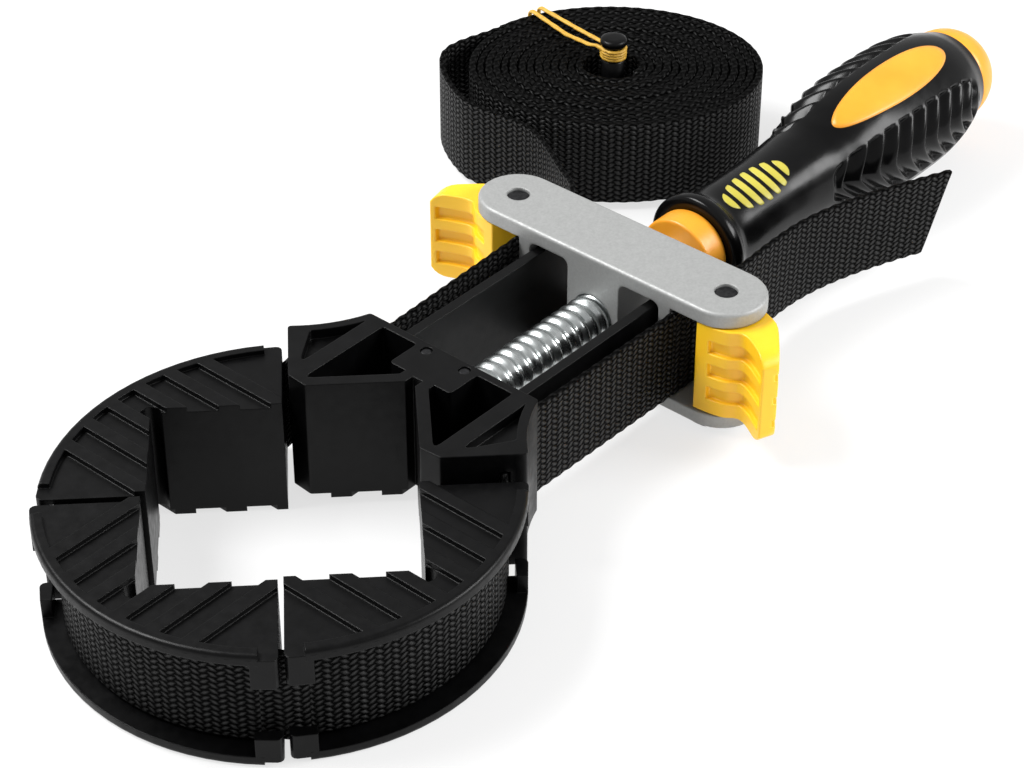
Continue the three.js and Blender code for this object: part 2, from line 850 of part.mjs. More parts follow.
function frontGrooves() {
  const edge = leverFront().slice(1, -3).map(([x, y]) => [x + groove_depth, y]);
  const far = -2 * tip_front;
  const outline = [...edge, [far, edge[edge.length - 1][1]], [far, edge[0][1]]];
  const middle = (lever_bottom + lever_top) / 2;
  const cuts = [];
  for (let i = 0; i < groove_count; i += 1) {
    const z = middle + (i - (groove_count - 1) / 2) * groove_pitch;
    cuts.push(raise(outline, z - groove_height / 2, z + groove_height / 2));
    const notch = raise([
      [-blade_bend - groove_depth / 2, -blade_bend_out + groove_depth / 2],
      [-tip_back - groove_depth, -tip_back_out],
      [-tip_back + 2 * groove_depth, -tip_back_out - groove_depth],
      [blade_back, -back_groove_out - groove_depth],
    ], z - groove_height / 4, z + groove_height / 4);
    cuts.push(notch);
  }
  return cuts.reduce((sum, cut) => sum.add(cut));
}

// Rounds the blade's two outer corners, above and below.
function leverCorners() {
  const tip = Math.hypot(tip_back, tip_back_out);
  const lean = THREE.MathUtils.radToDeg(Math.atan2(tip_back_out, tip_back));
  const corner = (z, up) => {
    const centre = z - up * lever_corner;
    const beyond = z + up * lever_corner;
    const turn = (up * Math.PI) / 2;
    const outline = [
      [-tip - lever_corner, beyond],
      [-tip - lever_corner, centre],
      ...arc(-tip + lever_corner, centre, lever_corner, Math.PI, Math.PI - turn, 6),
      [-tip + lever_corner, beyond],
    ];
    return raise(outline, -tip, tip).rotate([90, 0, lean]);
  };
  return corner(lever_top, 1).add(corner(lever_bottom, -1));
}

function lever(name, side) {
  const bore = disc(0, 0, pin_radius + running_clearance, 0, crosshead_height);
  let body = raise(leverOutline(), lever_bottom, lever_top).subtract(bore);
  body = body.subtract(frontGrooves()).subtract(leverCorners());
  if (side < 0) body = body.rotate([0, 0, -right_lever_lean]);
  body = body.translate([0, -pin_offset, 0]);
  return mesh(name, side < 0 ? body : mirrored(body), colors.yellow);
}

// Runs beside the rails, the tail and the lead to the coil.
function bandRun(name, side) {
  const from = -head_back + joint_gap;
  const to = -band_start - joint_gap;
  const steps = 6;
  const path = Array.from({ length: steps + 1 }, (_, i) => {
    const share = i / steps;
    const x = from + (to - from) * share;
    const y = exit_offset + (grip_offset - exit_offset) * share;
    return [x, side * y, exit_mid + (axis_z - exit_mid) * share];
  });
  return mesh(name, ribbon(path, band_thickness, band_width), colors.band);
}

function bandTail() {
  const first = bezier(
    [band_start, -grip_offset],
    [(band_start + tail_waist_x) / 2, -grip_offset],
    [(band_start + tail_waist_x) / 2, -tail_waist_y],
    [tail_waist_x, -tail_waist_y],
    tail_steps / 2,
  );
  const reach = (tail_end_x - tail_waist_x) / 3;
  const second = bezier(
    [tail_waist_x, -tail_waist_y],
    [tail_waist_x + reach, -tail_waist_y],
    [tail_end_x - reach, -(tail_end_y + tail_waist_y) / 2],
    [tail_end_x, -tail_end_y],
    tail_steps / 2,
  );
  const plan = [[-band_start, -grip_offset], ...first, ...second.slice(1)];
  const path = plan.map(([x, y], i) => {
    const share = Math.max(0, (x - band_start) / (tail_end_x - band_start));
    const ease = share * share * (3 - 2 * share);
    const slant = tail_slant * Math.max(0, 1 - (plan.length - 1 - i) / tail_slant_steps);
    return [x, y, axis_z, -tail_lean * ease, slant];
  });
  return mesh("band_tail", ribbon(path, band_thickness, band_width), colors.band);
}

function leadPath() {
  const toward = Math.atan2(lead_turn_y - lead_leave_y, lead_turn_x - lead_leave_x);
  const first = bezier(
    [lead_start_x, grip_offset],
    [lead_start_x + lead_start_pull, grip_offset],
    [lead_leave_x - lead_leave_pull * Math.cos(toward), lead_leave_y - lead_leave_pull * Math.sin(toward)],
    [lead_leave_x, lead_leave_y],
    lead_steps / 2,
  );
  const knots = [
    [lead_leave_x, lead_leave_y],
    [lead_turn_x, lead_turn_y],
    [lead_waist_x, lead_waist_y],
    [lead_far_x, lead_far_y],
    [coilPoint(0)[0] - joint_gap, coilPoint(0)[1]],
  ];
  const points = knots.map(([x, y]) => new THREE.Vector3(x, y, 0));
  const curve = new THREE.CatmullRomCurve3(points, false, "centripetal");
  const rest = curve.getPoints(3 * lead_steps / 2).map((point) => [point.x, point.y]);
  return [[-band_start, grip_offset], ...first, ...rest.slice(1)];
}

function bandLead() {
  const plan = leadPath();
  const coil_mid = coil_bottom + band_width / 2;
  const path = plan.map(([x, y], i) => {
    const share = Math.min(1, Math.max(0, (i - 1) / lead_steps));
    return [x, y, axis_z + (coil_mid - axis_z) * share * share * (3 - 2 * share)];
  });
  return mesh("band_lead", ribbon(path, band_thickness, band_width), colors.band);
}

// A point of the coil after some turns from its outer end. The round spiral is drawn out to an oval.
function coilPoint(turns) {
  const angle = radians(coil_end_angle) - 2 * Math.PI * turns;
  const radius = coil_radius - coil_pitch * turns;
  const x = radius * Math.cos(angle);
  const y = radius * Math.sin(angle);
  const along = [Math.cos(radians(coil_long_angle)), Math.sin(radians(coil_long_angle))];
  const drawn = (coil_long_radius / coil_radius - 1) * (x * along[0] + y * along[1]);
  return [coil_x + x + drawn * along[0], coil_y + y + drawn * along[1]];
}

function coilPoints() {
  const total = coil_turns * coil_steps;
  return Array.from({ length: total + 1 }, (_, i) => coilPoint(i / coil_steps));
}

// Least gap between a point of one turn and the chords of the next, less the band's thickness.
function coilGap(points) {
  let least = Infinity;
  for (let i = 0; i + coil_steps < points.length; i += 1) {
    const [x, y] = points[i];
    for (let k = i + coil_steps - 1; k <= i + coil_steps && k + 1 < points.length; k += 1) {
      const [ax, ay] = points[k];
      const [bx, by] = points[k + 1];
      const dx = bx - ax;
      const dy = by - ay;
      const t = Math.min(1, Math.max(0, ((x - ax) * dx + (y - ay) * dy) / (dx * dx + dy * dy)));
      least = Math.min(least, Math.hypot(x - ax - t * dx, y - ay - t * dy));
    }
  }
  return least - band_thickness;
}

function bandCoil() {
  const points = coilPoints();
  console.log(`coil: least gap between turns ${coilGap(points).toFixed(3)} mm`);
  const mid = coil_bottom + band_width / 2;
  const body = ribbon(points.map(([x, y]) => [x, y, mid]), band_thickness, band_width);
  return mesh("band_coil", body, colors.band);
}

// The peg stands near the far side of the hole in the coil.
function pegCentre() {
  const inner = coil_radius - coil_pitch * (coil_turns - 0.5) - band_thickness / 2;
  const shift = inner - peg_radius - seat_gap - coil_pitch / 2;
  const angle = radians(peg_angle);
  return [coil_x + shift * Math.cos(angle), coil_y + shift * Math.sin(angle)];
}

function coilPeg() {
  const [x, y] = pegCentre();
  const body = upright([
    [0, floor_z],
    [peg_foot_radius, floor_z],
    [peg_foot_radius, floor_z + coil_lift],
    [peg_radius, floor_z + coil_lift + seat_gap],
    [peg_radius, peg_neck_bottom],
    [peg_neck_radius, peg_neck_bottom],
    [peg_neck_radius, peg_neck_top],
    [peg_head_radius, peg_neck_top],
    [peg_head_radius, peg_top - edge_round],
    [peg_head_radius - edge_round, peg_top],
    [0, peg_top],
  ], x, y);
  return mesh("coil_peg", body, colors.steel);
}

// One strand of the elastic, from the peg's neck over the coil's edge and back beneath to its foot.
function elasticStrand(reach, low, top) {
  const rim = coil_top + elastic_radius + seat_gap;
  const bend = elastic_bend;
  const over = arc(reach - bend, rim - bend, bend, Math.PI / 2, 0, 5);
  const under = arc(reach - bend, low + bend, bend, 0, -Math.PI / 2, 5);
  const neck = peg_neck_radius + elastic_radius + seat_gap;
  const foot = peg_foot_radius + elastic_radius + seat_gap;
  const leave = 2 * peg_head_radius;
  return [
    [0, top, neck],
    [leave / 2, top, neck],
    [leave, (top + rim) / 2, neck - elastic_bend / 4],
    ...over.map(([along, z]) => [along, z, elastic_spread / 2]),
    ...under.map(([along, z]) => [along, z, elastic_spread / 2]),
    [leave, low, foot],
    [leave / 2, low, foot],
    [0, low, foot],
  ];
}

function elasticPath() {
  const [px, py] = pegCentre();
  const angle = radians(elastic_angle);
  const out = [Math.cos(angle), Math.sin(angle)];
  const low = floor_z + elastic_radius + seat_gap;
  const beneath = coilPoints().filter(([x, y]) => {
    return Math.abs((y - py) * out[0] - (x - px) * out[1]) < 2 * elastic_spread;
  });
  const edge = Math.max(...beneath.map(([x, y]) => (x - px) * out[0] + (y - py) * out[1]));
  const reach = edge + band_thickness / 2 + elastic_radius + seat_gap;
  const at = (along, across, z) => new THREE.Vector3(
    px + out[0] * along - out[1] * across,
    py + out[1] * along + out[0] * across,
    z,
  );
  const upper = peg_neck_top - elastic_radius - joint_gap;
  const lower = peg_neck_bottom + elastic_radius + joint_gap;
  const strand = elasticStrand(reach, low, upper);
  const other = elasticStrand(reach, low, lower);
  const foot = strand[strand.length - 1];
  const under = arc(0, 0, foot[2], Math.PI / 2, Math.PI * 1.5, 6).slice(1, -1);
  const wraps = elastic_wraps + 0.5;
  const wrap_steps = 12 * wraps;
  const climb = arc(0, 0, strand[0][2], Math.PI * 1.5, Math.PI * 1.5 - 2 * Math.PI * wraps, wrap_steps)
    .map(([along, across], i) => at(along, across, lower + ((upper - lower) * i) / wrap_steps));
  return [
    ...strand.map(([along, z, across]) => at(along, across, z)),
    ...under.map(([along, across]) => at(along, across, low)),
    ...other.map(([along, z, across]) => at(along, -across, z)).reverse(),
    ...climb.slice(1, -1),
  ];
}

function coilElastic() {
  const curve = new THREE.CatmullRomCurve3(elasticPath(), true, "centripetal");
  const steps = 180;
  const frames = curve.computeFrenetFrames(steps, true);
  const positions = [];
  const indices = [];
  for (let i = 0; i < steps; i += 1) {
    const point = curve.getPointAt(i / steps);
    for (let k = 0; k < elastic_sides; k += 1) {
      const angle = (2 * Math.PI * k) / elastic_sides;
      const offset = frames.normals[i].clone().multiplyScalar(Math.cos(angle) * elastic_radius);
      offset.addScaledVector(frames.binormals[i], Math.sin(angle) * elastic_radius);
      positions.push(point.x + offset.x, point.y + offset.y, point.z + offset.z);
      const a = i * elastic_sides + k;
      const b = i * elastic_sides + ((k + 1) % elastic_sides);
      const c = ((i + 1) % steps) * elastic_sides + k;
      const d = ((i + 1) % steps) * elastic_sides + ((k + 1) % elastic_sides);
      indices.push(a, b, d, a, d, c);
    }
  }
  const geometry = new THREE.BufferGeometry();
  geometry.setAttribute("position", new THREE.Float32BufferAttribute(positions, 3));
  geometry.setIndex(indices);
  const body = solid(geometry);
  return mesh("coil_elastic", body.volume() > 0 ? body : solid(flipped(geometry)), colors.yellow);
}

function build() {
  const group = new THREE.Group();
  const channel = ribbon(channelPath(head_gap + pocket_length + joint_gap, 0), band_thickness, band_width);
  group.add(
    headFrame(),
    neckPin("neck_pin_left", 1),
    neckPin("neck_pin_right", -1),
    screw(),
    handleCore(),
    handleGrip(),
    crosshead(),
    pivotPin("pivot_pin_left", 1),
    pivotPin("pivot_pin_right", -1),
    lever("lever_left", 1),
    lever("lever_right", -1),
    placedJaw("corner_jaw_left", 90, left_jaw_p, left_jaw_q),
    placedJaw("corner_jaw_front", 180, front_jaw_p, front_jaw_q),
    placedJaw("corner_jaw_right", -90, right_jaw_p, right_jaw_q),
    bandArc("band_arc_left", 90, left_jaw_p, left_jaw_q),
    bandArc("band_arc_front", 180, front_jaw_p, front_jaw_q),
    bandArc("band_arc_right", -90, right_jaw_p, right_jaw_q),
    headGap(
      "band_gap_head_left",
      (along, out) => ring(along, out),
      { along: left_jaw_p, out: left_jaw_q },
    ),
    headGap(
      "band_gap_head_right",
      (along, out) => ring(out, along),
      { along: right_jaw_q, out: right_jaw_p },
    ),
    bandGap(
      "band_gap_front_left",
      (along, out) => ring(-out, -along),
      { along: -left_jaw_q, out: -left_jaw_p },
      { along: -front_jaw_q, out: -front_jaw_p },
    ),
    bandGap(
      "band_gap_front_right",
      (along, out) => ring(along, -out),
      { along: front_jaw_p, out: -front_jaw_q },
      { along: right_jaw_p, out: -right_jaw_q },
    ),
    mesh("band_channel_left", channel, colors.band),
    mesh("band_channel_right", mirrored(channel), colors.band),
    bandRun("band_run_left", 1),
    bandRun("band_run_right", -1),
    bandTail(),
    bandLead(),
    bandCoil(),
    coilPeg(),
    coilElastic(),
  );
  return group;
}

export default build();
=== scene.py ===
# Woven-band frame clamp: the detailed pieces, materials, floor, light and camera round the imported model.
# Sizes are in millimetres and angles in degrees; MM turns them into Blender's metres.
# +X runs along the screw from the ring to the handle, +Y to the left, +Z up.
import math

import bmesh
import bpy
from mathutils import Euler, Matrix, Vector, noise


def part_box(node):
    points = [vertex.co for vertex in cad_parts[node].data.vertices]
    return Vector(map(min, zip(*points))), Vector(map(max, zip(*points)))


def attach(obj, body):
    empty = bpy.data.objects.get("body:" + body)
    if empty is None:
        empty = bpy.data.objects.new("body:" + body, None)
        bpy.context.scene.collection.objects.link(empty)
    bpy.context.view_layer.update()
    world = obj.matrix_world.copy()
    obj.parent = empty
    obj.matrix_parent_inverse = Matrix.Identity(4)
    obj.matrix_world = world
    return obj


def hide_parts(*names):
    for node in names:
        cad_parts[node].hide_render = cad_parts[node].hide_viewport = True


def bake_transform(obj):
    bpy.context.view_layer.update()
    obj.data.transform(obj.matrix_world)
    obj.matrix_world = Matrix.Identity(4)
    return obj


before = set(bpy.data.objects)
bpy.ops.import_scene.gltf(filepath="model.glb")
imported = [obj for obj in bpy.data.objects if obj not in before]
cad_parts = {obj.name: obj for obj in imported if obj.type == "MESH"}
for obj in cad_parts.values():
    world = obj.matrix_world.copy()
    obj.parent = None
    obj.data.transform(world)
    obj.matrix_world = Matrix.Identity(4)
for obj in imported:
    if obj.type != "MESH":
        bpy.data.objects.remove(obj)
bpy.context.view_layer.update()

MM = 0.001
ROOT2 = math.sqrt(2)
SIDES = (("left", 1), ("right", -1))

# Camera
CAMERA_PLACE = (-433.2, -340.0, 397.2)
CAMERA_TURN = (53.519, -0.061, -49.099)
CAMERA_LENS = 94.9
SENSOR_WIDTH = 36
CAMERA_NEAR = 10
CAMERA_FAR = 20000

# Floor and light. Each lamp has a place, a size and a power in watts.
FLOOR_HALF = 4000
FLOOR_DROP = 0.05
FLOOR_WHITE = 0.7
WORLD_STRENGTH = 0.5
LAMP_TARGET = (-20, 20, 10)
LAMPS = {
    "key": ((-350, 550, 900), (600, 400), 15),
    "side": ((500, -700, 500), (500, 350), 8),
}

# Heights of the screw's axis, the floor, and the band's middle at the jaws and at the head's two ends
AXIS_Z = 16.9
FLOOR_Z = -2.2
JAW_MID = 13.3
MOUTH_MID = 15.1
EXIT_MID = 16.1
POCKET_RISE = 0.25

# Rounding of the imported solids' edges
WELD = 0.002
FLAT_ANGLE = 0.5
EDGE_ANGLE = 28
EDGE_TOUCH = 0.05
BOLD_SEGMENTS = 4
NYLON_ROUND = 0.3
BEAD_ROUND = 1.1
CAST_ROUND = 0.6
PLATE_ROUND = 0.9
LEVER_ROUND = 0.5

# Ring, head and crosshead. Each loose jaw lies off its even place by its shift, which ring_point reads.
RING_X = -117.8
RIM_RADIUS = 55
JAW_SHIFTS = {"left": (1.9, -1.2), "front": (0.8, -0.6), "right": (-0.4, 0.3)}
JAW_CLEARANCE = 1.2
HEAD_GAP = 2.3
HEAD_BACK = 61
PIN_Y = 32.6
PIN_HOLE_REACH = 3.6

# Band. A piece that spans a gap ends GAP_REACH from the gap's middle and GAP_LEVEL out from the ring's.
BAND_WIDTH = 25
BAND_THICKNESS = 1.4
BAND_RADIUS = 49.6
BAND_START = 10.4
EXIT_Y = 23.3
GRIP_Y = 24.7
POCKET_LENGTH = 4.2
JOINT_GAP = 0.3
GAP_REACH = JAW_CLEARANCE + POCKET_LENGTH + JOINT_GAP
GAP_LEVEL = math.sqrt(BAND_RADIUS ** 2 - GAP_REACH ** 2)
RING_ARCS = (("left", 90, "jaw_left"), ("front", 180, "jaw_front"), ("right", -90, "band_right"))
FACE_INSET = 0.35
SHOULDER_INSET = 0.08
SHOULDER_SHARE = 0.6
SEAM_INSET = 0.05
SEAM_HALF = 0.01

# Weave: rows and periods of the yarn, steps along the band, and the waves of its narrow edges
WEAVE_ROW = 0.78
WEAVE_PERIOD = 3.8
WEAVE_DEPTH = 0.85
YARN_HALF_WIDTH = 0.74
YARN_LEAN = 0.30
BEAD_POWER = 0.8
FIBRE_HEIGHT = 0.10
BAND_STEP = 0.45
GAP_STEP = 0.5
COIL_STEP = 1.0
SELVEDGE = 0.5
SELVEDGE_WAVE = 0.16
COIL_SELVEDGE_WAVE = 0.08

# Tail
TAIL_WAIST = (37, 23.8)
TAIL_END = (87.5, 38.3)
TAIL_LEAN = 0.8
TAIL_SLANT = 6
TAIL_SLANT_REACH = 20

# Lead and coil. Each coil shift has its first turn, the way it goes and how far. WOBBLE in the radius
# and ROLL and UNEVEN in the height each have a size and a rate.
LEAD_START = 4
LEAD_START_PULL = 9
LEAD_LEAVE_PULL = 6
LEAD_LEVEL_STEPS = 4
LEAD_KNOTS = ((23, 35.8), (38, 62), (38.6, 86), (54, 106.4))
COIL = (78.9, 65.8)
COIL_RADIUS = 33.2
COIL_LONG_RADIUS = 41.2
COIL_LONG_ANGLE = -50
COIL_TURNS = 14.5
COIL_STEPS = 72
COIL_PITCH = 1.85
COIL_LIFT = 1.7
COIL_THICKNESS = (1.52, 1.92)
COIL_SHIFTS = ((3.2, 130, 0.30), (6.4, -60, 0.32), (9.5, 150, 0.30), (12.0, 20, 0.25))
COIL_SHIFT_TURN = 0.6
COIL_WOBBLE = (0.05, 7.3)
COIL_ROLL = (0.35, 2.3)
COIL_UNEVEN = (0.3, 0.9)
COIL_MID = FLOOR_Z + COIL_LIFT + BAND_WIDTH / 2
COIL_START_ANGLE = 90

# Peg: (radius, height) pairs up from the foot
PEG_NECK = (25.2, 29.6)
PEG_TOP = 31.8
CAP_RADIUS = 0.02
PEG_FOOT = ((CAP_RADIUS, FLOOR_Z), (2.0, FLOOR_Z), (2.0, -0.5), (3.0, -0.4), (3.2, -0.1))
PEG_WAIST = (
    (3.2, PEG_NECK[0] - 0.3), (2.9, PEG_NECK[0]), (2.5, PEG_NECK[0] + 0.2),
    (2.5, PEG_NECK[1] - 0.2), (2.9, PEG_NECK[1]),
)
PEG_HEAD = (
    (3.45, PEG_NECK[1] + 0.05), (3.7, PEG_NECK[1] + 0.35), (3.7, PEG_TOP - 0.9),
    (3.5, PEG_TOP - 0.35), (3.0, PEG_TOP - 0.08), (1.6, PEG_TOP), (CAP_RADIUS, PEG_TOP),
)

# Elastic. NECK and FOOT are its distances from the peg's axis, LIFT is its height over the floor and the
# coil. A strand runs beside the peg, through TURN and to RIM, both (along, across).
ELASTIC_ANGLE = 78
ELASTIC_RADIUS = 0.5
ELASTIC_WRAPS = 3
ELASTIC_NECK = 3.3
ELASTIC_FOOT = 2.8
ELASTIC_BESIDE = 3.4
ELASTIC_TURN = (7, 2.9)
ELASTIC_RIM = (18, 2.3)
ELASTIC_BEND = 1.6
ELASTIC_LIFT = 0.8
ELASTIC_SLACK = 0.3
ELASTIC_HALF_SPAN = 6
ELASTIC_SPREAD = (3.6, 6)
ELASTIC_STEP = 0.8
ELASTIC_RIPPLE = (0.06, 0.9)

# Pins
PIVOT_PIN_RADIUS = 2.9
PIVOT_PIN_INSET = 0.3
NECK_PIN_RADIUS = 1.4
NECK_PIN = (-63.5, 5.9)
PIN_ROUND = 0.45

# Screw
SCREW_RADIUS = 6
SCREW_NECK_RADIUS = 4.6
SCREW_NECK_BACK = -HEAD_BACK + 0.2
SCREW_NECK_FADE = (-0.6, 1.5)
SCREW_END = 24.5
THREAD_DEPTH = 0.75
THREAD_PITCH = 3.5
THREAD_CREST = 0.55
THREAD_STEPS = 14

# Handle: (x, radius) pairs; the lips' x is counted from the grip's front and back
INLAY_TURN = 20
GRIP_PROFILE = (
    (30.3, 12.6), (30.8, 13.6), (32.0, 13.95), (33.6, 13.7), (35.6, 12.3), (38, 11.6), (44, 11.5),
    (58, 11.5), (66, 11.9), (72, 12.4), (77, 13.0), (82, 14.4), (88, 16.2), (96, 17.7), (105, 18.3),
    (115, 18.4), (125, 18.1), (132, 17.2), (138, 15.7), (142, 14.2), (144, 13.6),
)
GRIP_FRONT_LIP = ((1.2, 9.3), (0.15, 10.9), (-0.02, 12.0))
GRIP_BACK_LIP = ((0.02, 12.8), (-0.3, 9.3))
GRIP_STATIONS = 420
GRIP_AROUND = 240
COLLAR_PROFILE = ((23.0, 6.15), (23.0, 10.9), (29.9, 10.9), (31.2, 9.6), (31.2, 6.15))
COLLAR_ROUND = 0.9
DOME_FRONT = ((143.4, 9.0), (143.7, 13.2))
DOME_START = 144.2
DOME_LENGTH = 12.2
DOME_RADIUS = 13.5
DOME_BLUNTNESS = 0.7
DOME_TIP = (156.45, 0.05)

# Handle's side panels. A rib's two halves sweep back by (distance, power).
# RISE and FALL are shares of a pitch.
PANEL_FRONT = 74
PANEL_BACK = 139.5
PANEL_SIDE = 64
PANEL_HALF_ANGLE = 32
PANEL_DEPTH = 1.8
PANEL_EDGE = 0.93
PANEL_SQUARENESS = 4
RIB_UPPER_SWEEP = (5, 1.4)
RIB_LOWER_SWEEP = (9, 1.5)
RIB_PITCH = 6.1
RIB_HEIGHT = 2.0
RIB_RISE = (-0.1, 0.6)
RIB_FALL = (0.62, 0.82)

# Handle's inlays: middle, half length and half width
OVAL_INLAY = (107.5, 24.6, 6.5)
OVAL_TAPER = 0.1
OVAL_FULLNESS = 0.97
STRIPE_INLAY = (50.7, 12.5, 5.6)
STRIPE_COUNT = 7
STRIPE_PITCH = 3.7
STRIPE_WIDTH = 2.3
STRIPE_BOW = 0.03
STRIPE_END_POWER = 0.35
STRIPE_SIDE_POWER = 0.6
OVAL_PROUD = 0.22
STRIPE_PROUD = 0.12
INLAY_DEPTH = 0.6
INLAY_EDGE = 0.88
INLAY_EDGE_DROP = 0.55


# Nodes

class Nodes:
    """Short calls for one material's nodes. The plain values hold where no node is linked."""

    def __init__(self, name, color, roughness, metallic=0.0):
        self.material = bpy.data.materials.new(name)
        self.material.use_nodes = True
        self.tree = self.material.node_tree
        self.shader = self.tree.nodes["Principled BSDF"]
        self.fixed("Base Color", (*color, 1))
        self.fixed("Roughness", roughness)
        self.fixed("Metallic", metallic)

    def fixed(self, name, value):
        self.shader.inputs[name].default_value = value

    def add(self, kind, **values):
        made = self.tree.nodes.new(kind)
        for key, value in values.items():
            setattr(made, key, value)
        return made

    def link(self, source, target):
        self.tree.links.new(source, target)

    def shade(self, name, socket):
        self.link(socket, self.shader.inputs[name])

    def split(self, socket):
        made = self.add("ShaderNodeSeparateXYZ")
        self.link(socket, made.inputs[0])
        return made.outputs

    def math(self, operation, a, b=None):
        made = self.add("ShaderNodeMath", operation=operation)
        for socket, value in zip(made.inputs, (a, b)):
            if value is None:
                continue
            if isinstance(value, (int, float)):
                socket.default_value = value
            else:
                self.link(value, socket)
        return made.outputs[0]

    def noise(self, scale, detail=3.0, roughness=0.55, stretch=None):
        made = self.add("ShaderNodeTexNoise")
        made.inputs["Scale"].default_value = scale
        made.inputs["Detail"].default_value = detail
        made.inputs["Roughness"].default_value = roughness
        source = self.add("ShaderNodeTexCoord").outputs["Object"]
        if stretch:
            mapping = self.add("ShaderNodeMapping")
            mapping.inputs["Scale"].default_value = stretch
            self.link(source, mapping.inputs["Vector"])
            source = mapping.outputs[0]
        self.link(source, made.inputs["Vector"])
        return made.outputs["Fac"]

    def ramp(self, value, stops):
        made = self.add("ShaderNodeValToRGB")
        elements = made.color_ramp.elements
        while len(elements) < len(stops):
            elements.new(0.5)
        for element, (position, color) in zip(elements, stops):
            element.position = position
            element.color = (*color, 1)
        self.link(value, made.inputs[0])
        return made.outputs[0]

    def spread(self, value, low, high, start=0.3, end=0.7):
        """Takes start to end of a value onto low to high."""
        made = self.add("ShaderNodeMapRange")
        made.inputs["From Min"].default_value = start
        made.inputs["From Max"].default_value = end
        made.inputs["To Min"].default_value = low
        made.inputs["To Max"].default_value = high
        self.link(value, made.inputs["Value"])
        return made.outputs[0]

    def mottle(self, value, low, high, start=0.3, end=0.7):
        """Base colour from one colour to another over a noise."""
        self.shade("Base Color", self.ramp(value, [(start, low), (end, high)]))

    def wear(self, value, low, high):
        """Roughness from one value to another over a noise."""
        self.shade("Roughness", self.spread(value, low, high))

    def rounded(self, radius):
        """Normals that round each edge by that many millimetres."""
        made = self.add("ShaderNodeBevel", samples=6)
        made.inputs["Radius"].default_value = radius * MM
        return made.outputs[0]

    def bump(self, height, depth, strength=1.0, under=None):
        made = self.add("ShaderNodeBump")
        made.inputs["Strength"].default_value = strength
        made.inputs["Distance"].default_value = depth * MM
        self.link(height, made.inputs["Height"])
        if under is not None:
            self.link(under, made.inputs["Normal"])
        self.shade("Normal", made.outputs[0])
        return made.outputs[0]


# Materials

def nylon():
    n = Nodes("nylon", (0.006, 0.006, 0.0065), 0.42)
    n.mottle(n.noise(160, 4), (0.0010, 0.0010, 0.0011), (0.0024, 0.0024, 0.0026), start=0.35)
    n.wear(n.noise(420, 4), 0.28, 0.42)
    n.fixed("Specular IOR Level", 0.17)
    soft = n.bump(n.noise(55, 2), 0.10, 0.3, n.rounded(0.4))
    n.bump(n.noise(2600, 2), 0.025, 0.35, soft)
    return n.material


def cast_aluminium():
    n = Nodes("cast_aluminium", (0.34, 0.345, 0.34), 0.5, 0.35)
    n.mottle(n.noise(1500, 3, 0.7), (0.32, 0.325, 0.32), (0.38, 0.385, 0.38))
    n.wear(n.noise(700, 4), 0.44, 0.58)
    grain = n.bump(n.noise(1900, 3, 0.7), 0.04, 0.4, n.rounded(0.8))
    n.bump(n.noise(90, 2), 0.12, 0.15, grain)
    return n.material


def dark_steel():
    n = Nodes("dark_steel", (0.06, 0.06, 0.065), 0.42, 0.9)
    n.mottle(n.noise(900, 4), (0.018, 0.018, 0.020), (0.055, 0.055, 0.057), end=0.75)
    n.wear(n.noise(1200, 3), 0.34, 0.55)
    n.bump(n.noise(1600, 3), 0.05, 0.5)
    return n.material


def zinc():
    n = Nodes("zinc", (0.72, 0.74, 0.75), 0.26, 1.0)
    n.mottle(n.noise(500, 4), (0.50, 0.53, 0.53), (0.72, 0.75, 0.75))
    n.wear(n.noise(900, 4, stretch=(1, 0.2, 0.2)), 0.18, 0.38)
    n.bump(n.noise(1400, 3), 0.04, 0.4)
    return n.material


def yellow_plastic(name, low, high):
    n = Nodes(name, high, 0.36)
    n.mottle(n.noise(60, 3), low, high)
    n.wear(n.noise(500, 3), 0.3, 0.42)
    n.fixed("Subsurface Weight", 0.12)
    n.fixed("Subsurface Radius", (0.004, 0.002, 0.0006))
    n.bump(n.noise(1800, 2), 0.02, 0.3, n.rounded(0.5))
    return n.material


def soft_grip():
    n = Nodes("soft_grip", (0.006, 0.006, 0.0065), 0.34)
    n.mottle(n.noise(120, 4), (0.0014, 0.0014, 0.0015), (0.0030, 0.0030, 0.0032), end=0.75)
    n.wear(n.noise(260, 4), 0.17, 0.27)
    n.fixed("Specular IOR Level", 0.2)
    soft = n.bump(n.noise(70, 2), 0.15, 0.3)
    n.bump(n.noise(3000, 2), 0.02, 0.3, soft)
    return n.material


def elastic_rubber():
    n = Nodes("elastic_rubber", (0.80, 0.50, 0.05), 0.5)
    n.mottle(n.noise(800, 4), (0.50, 0.27, 0.02), (0.72, 0.43, 0.06))
    n.bump(n.noise(2200, 3), 0.08, 0.6)
    return n.material


def yarn_height(n, along, across, shift, lean):
    """Every second column of yarn: a row of beads that rise and dive."""
    row = n.math("FRACT", n.math("ADD", n.math("DIVIDE", across, 2 * WEAVE_ROW), shift))
    off = n.math("SUBTRACT", row, 0.5)
    side = n.math("MULTIPLY", off, 2 * WEAVE_ROW / YARN_HALF_WIDTH)
    inside = n.math("SUBTRACT", 1.0, n.math("MULTIPLY", side, side))
    yarn = n.math("SQRT", n.math("MAXIMUM", inside, 0.0))
    turn = n.math("ADD", n.math("DIVIDE", along, WEAVE_PERIOD), n.math("MULTIPLY", off, lean))
    rise = n.math("COSINE", n.math("MULTIPLY", n.math("ADD", turn, shift), 2 * math.pi))
    bead = n.math("POWER", n.math("MAXIMUM", rise, 0.0), BEAD_POWER)
    return n.math("MULTIPLY", yarn, bead)


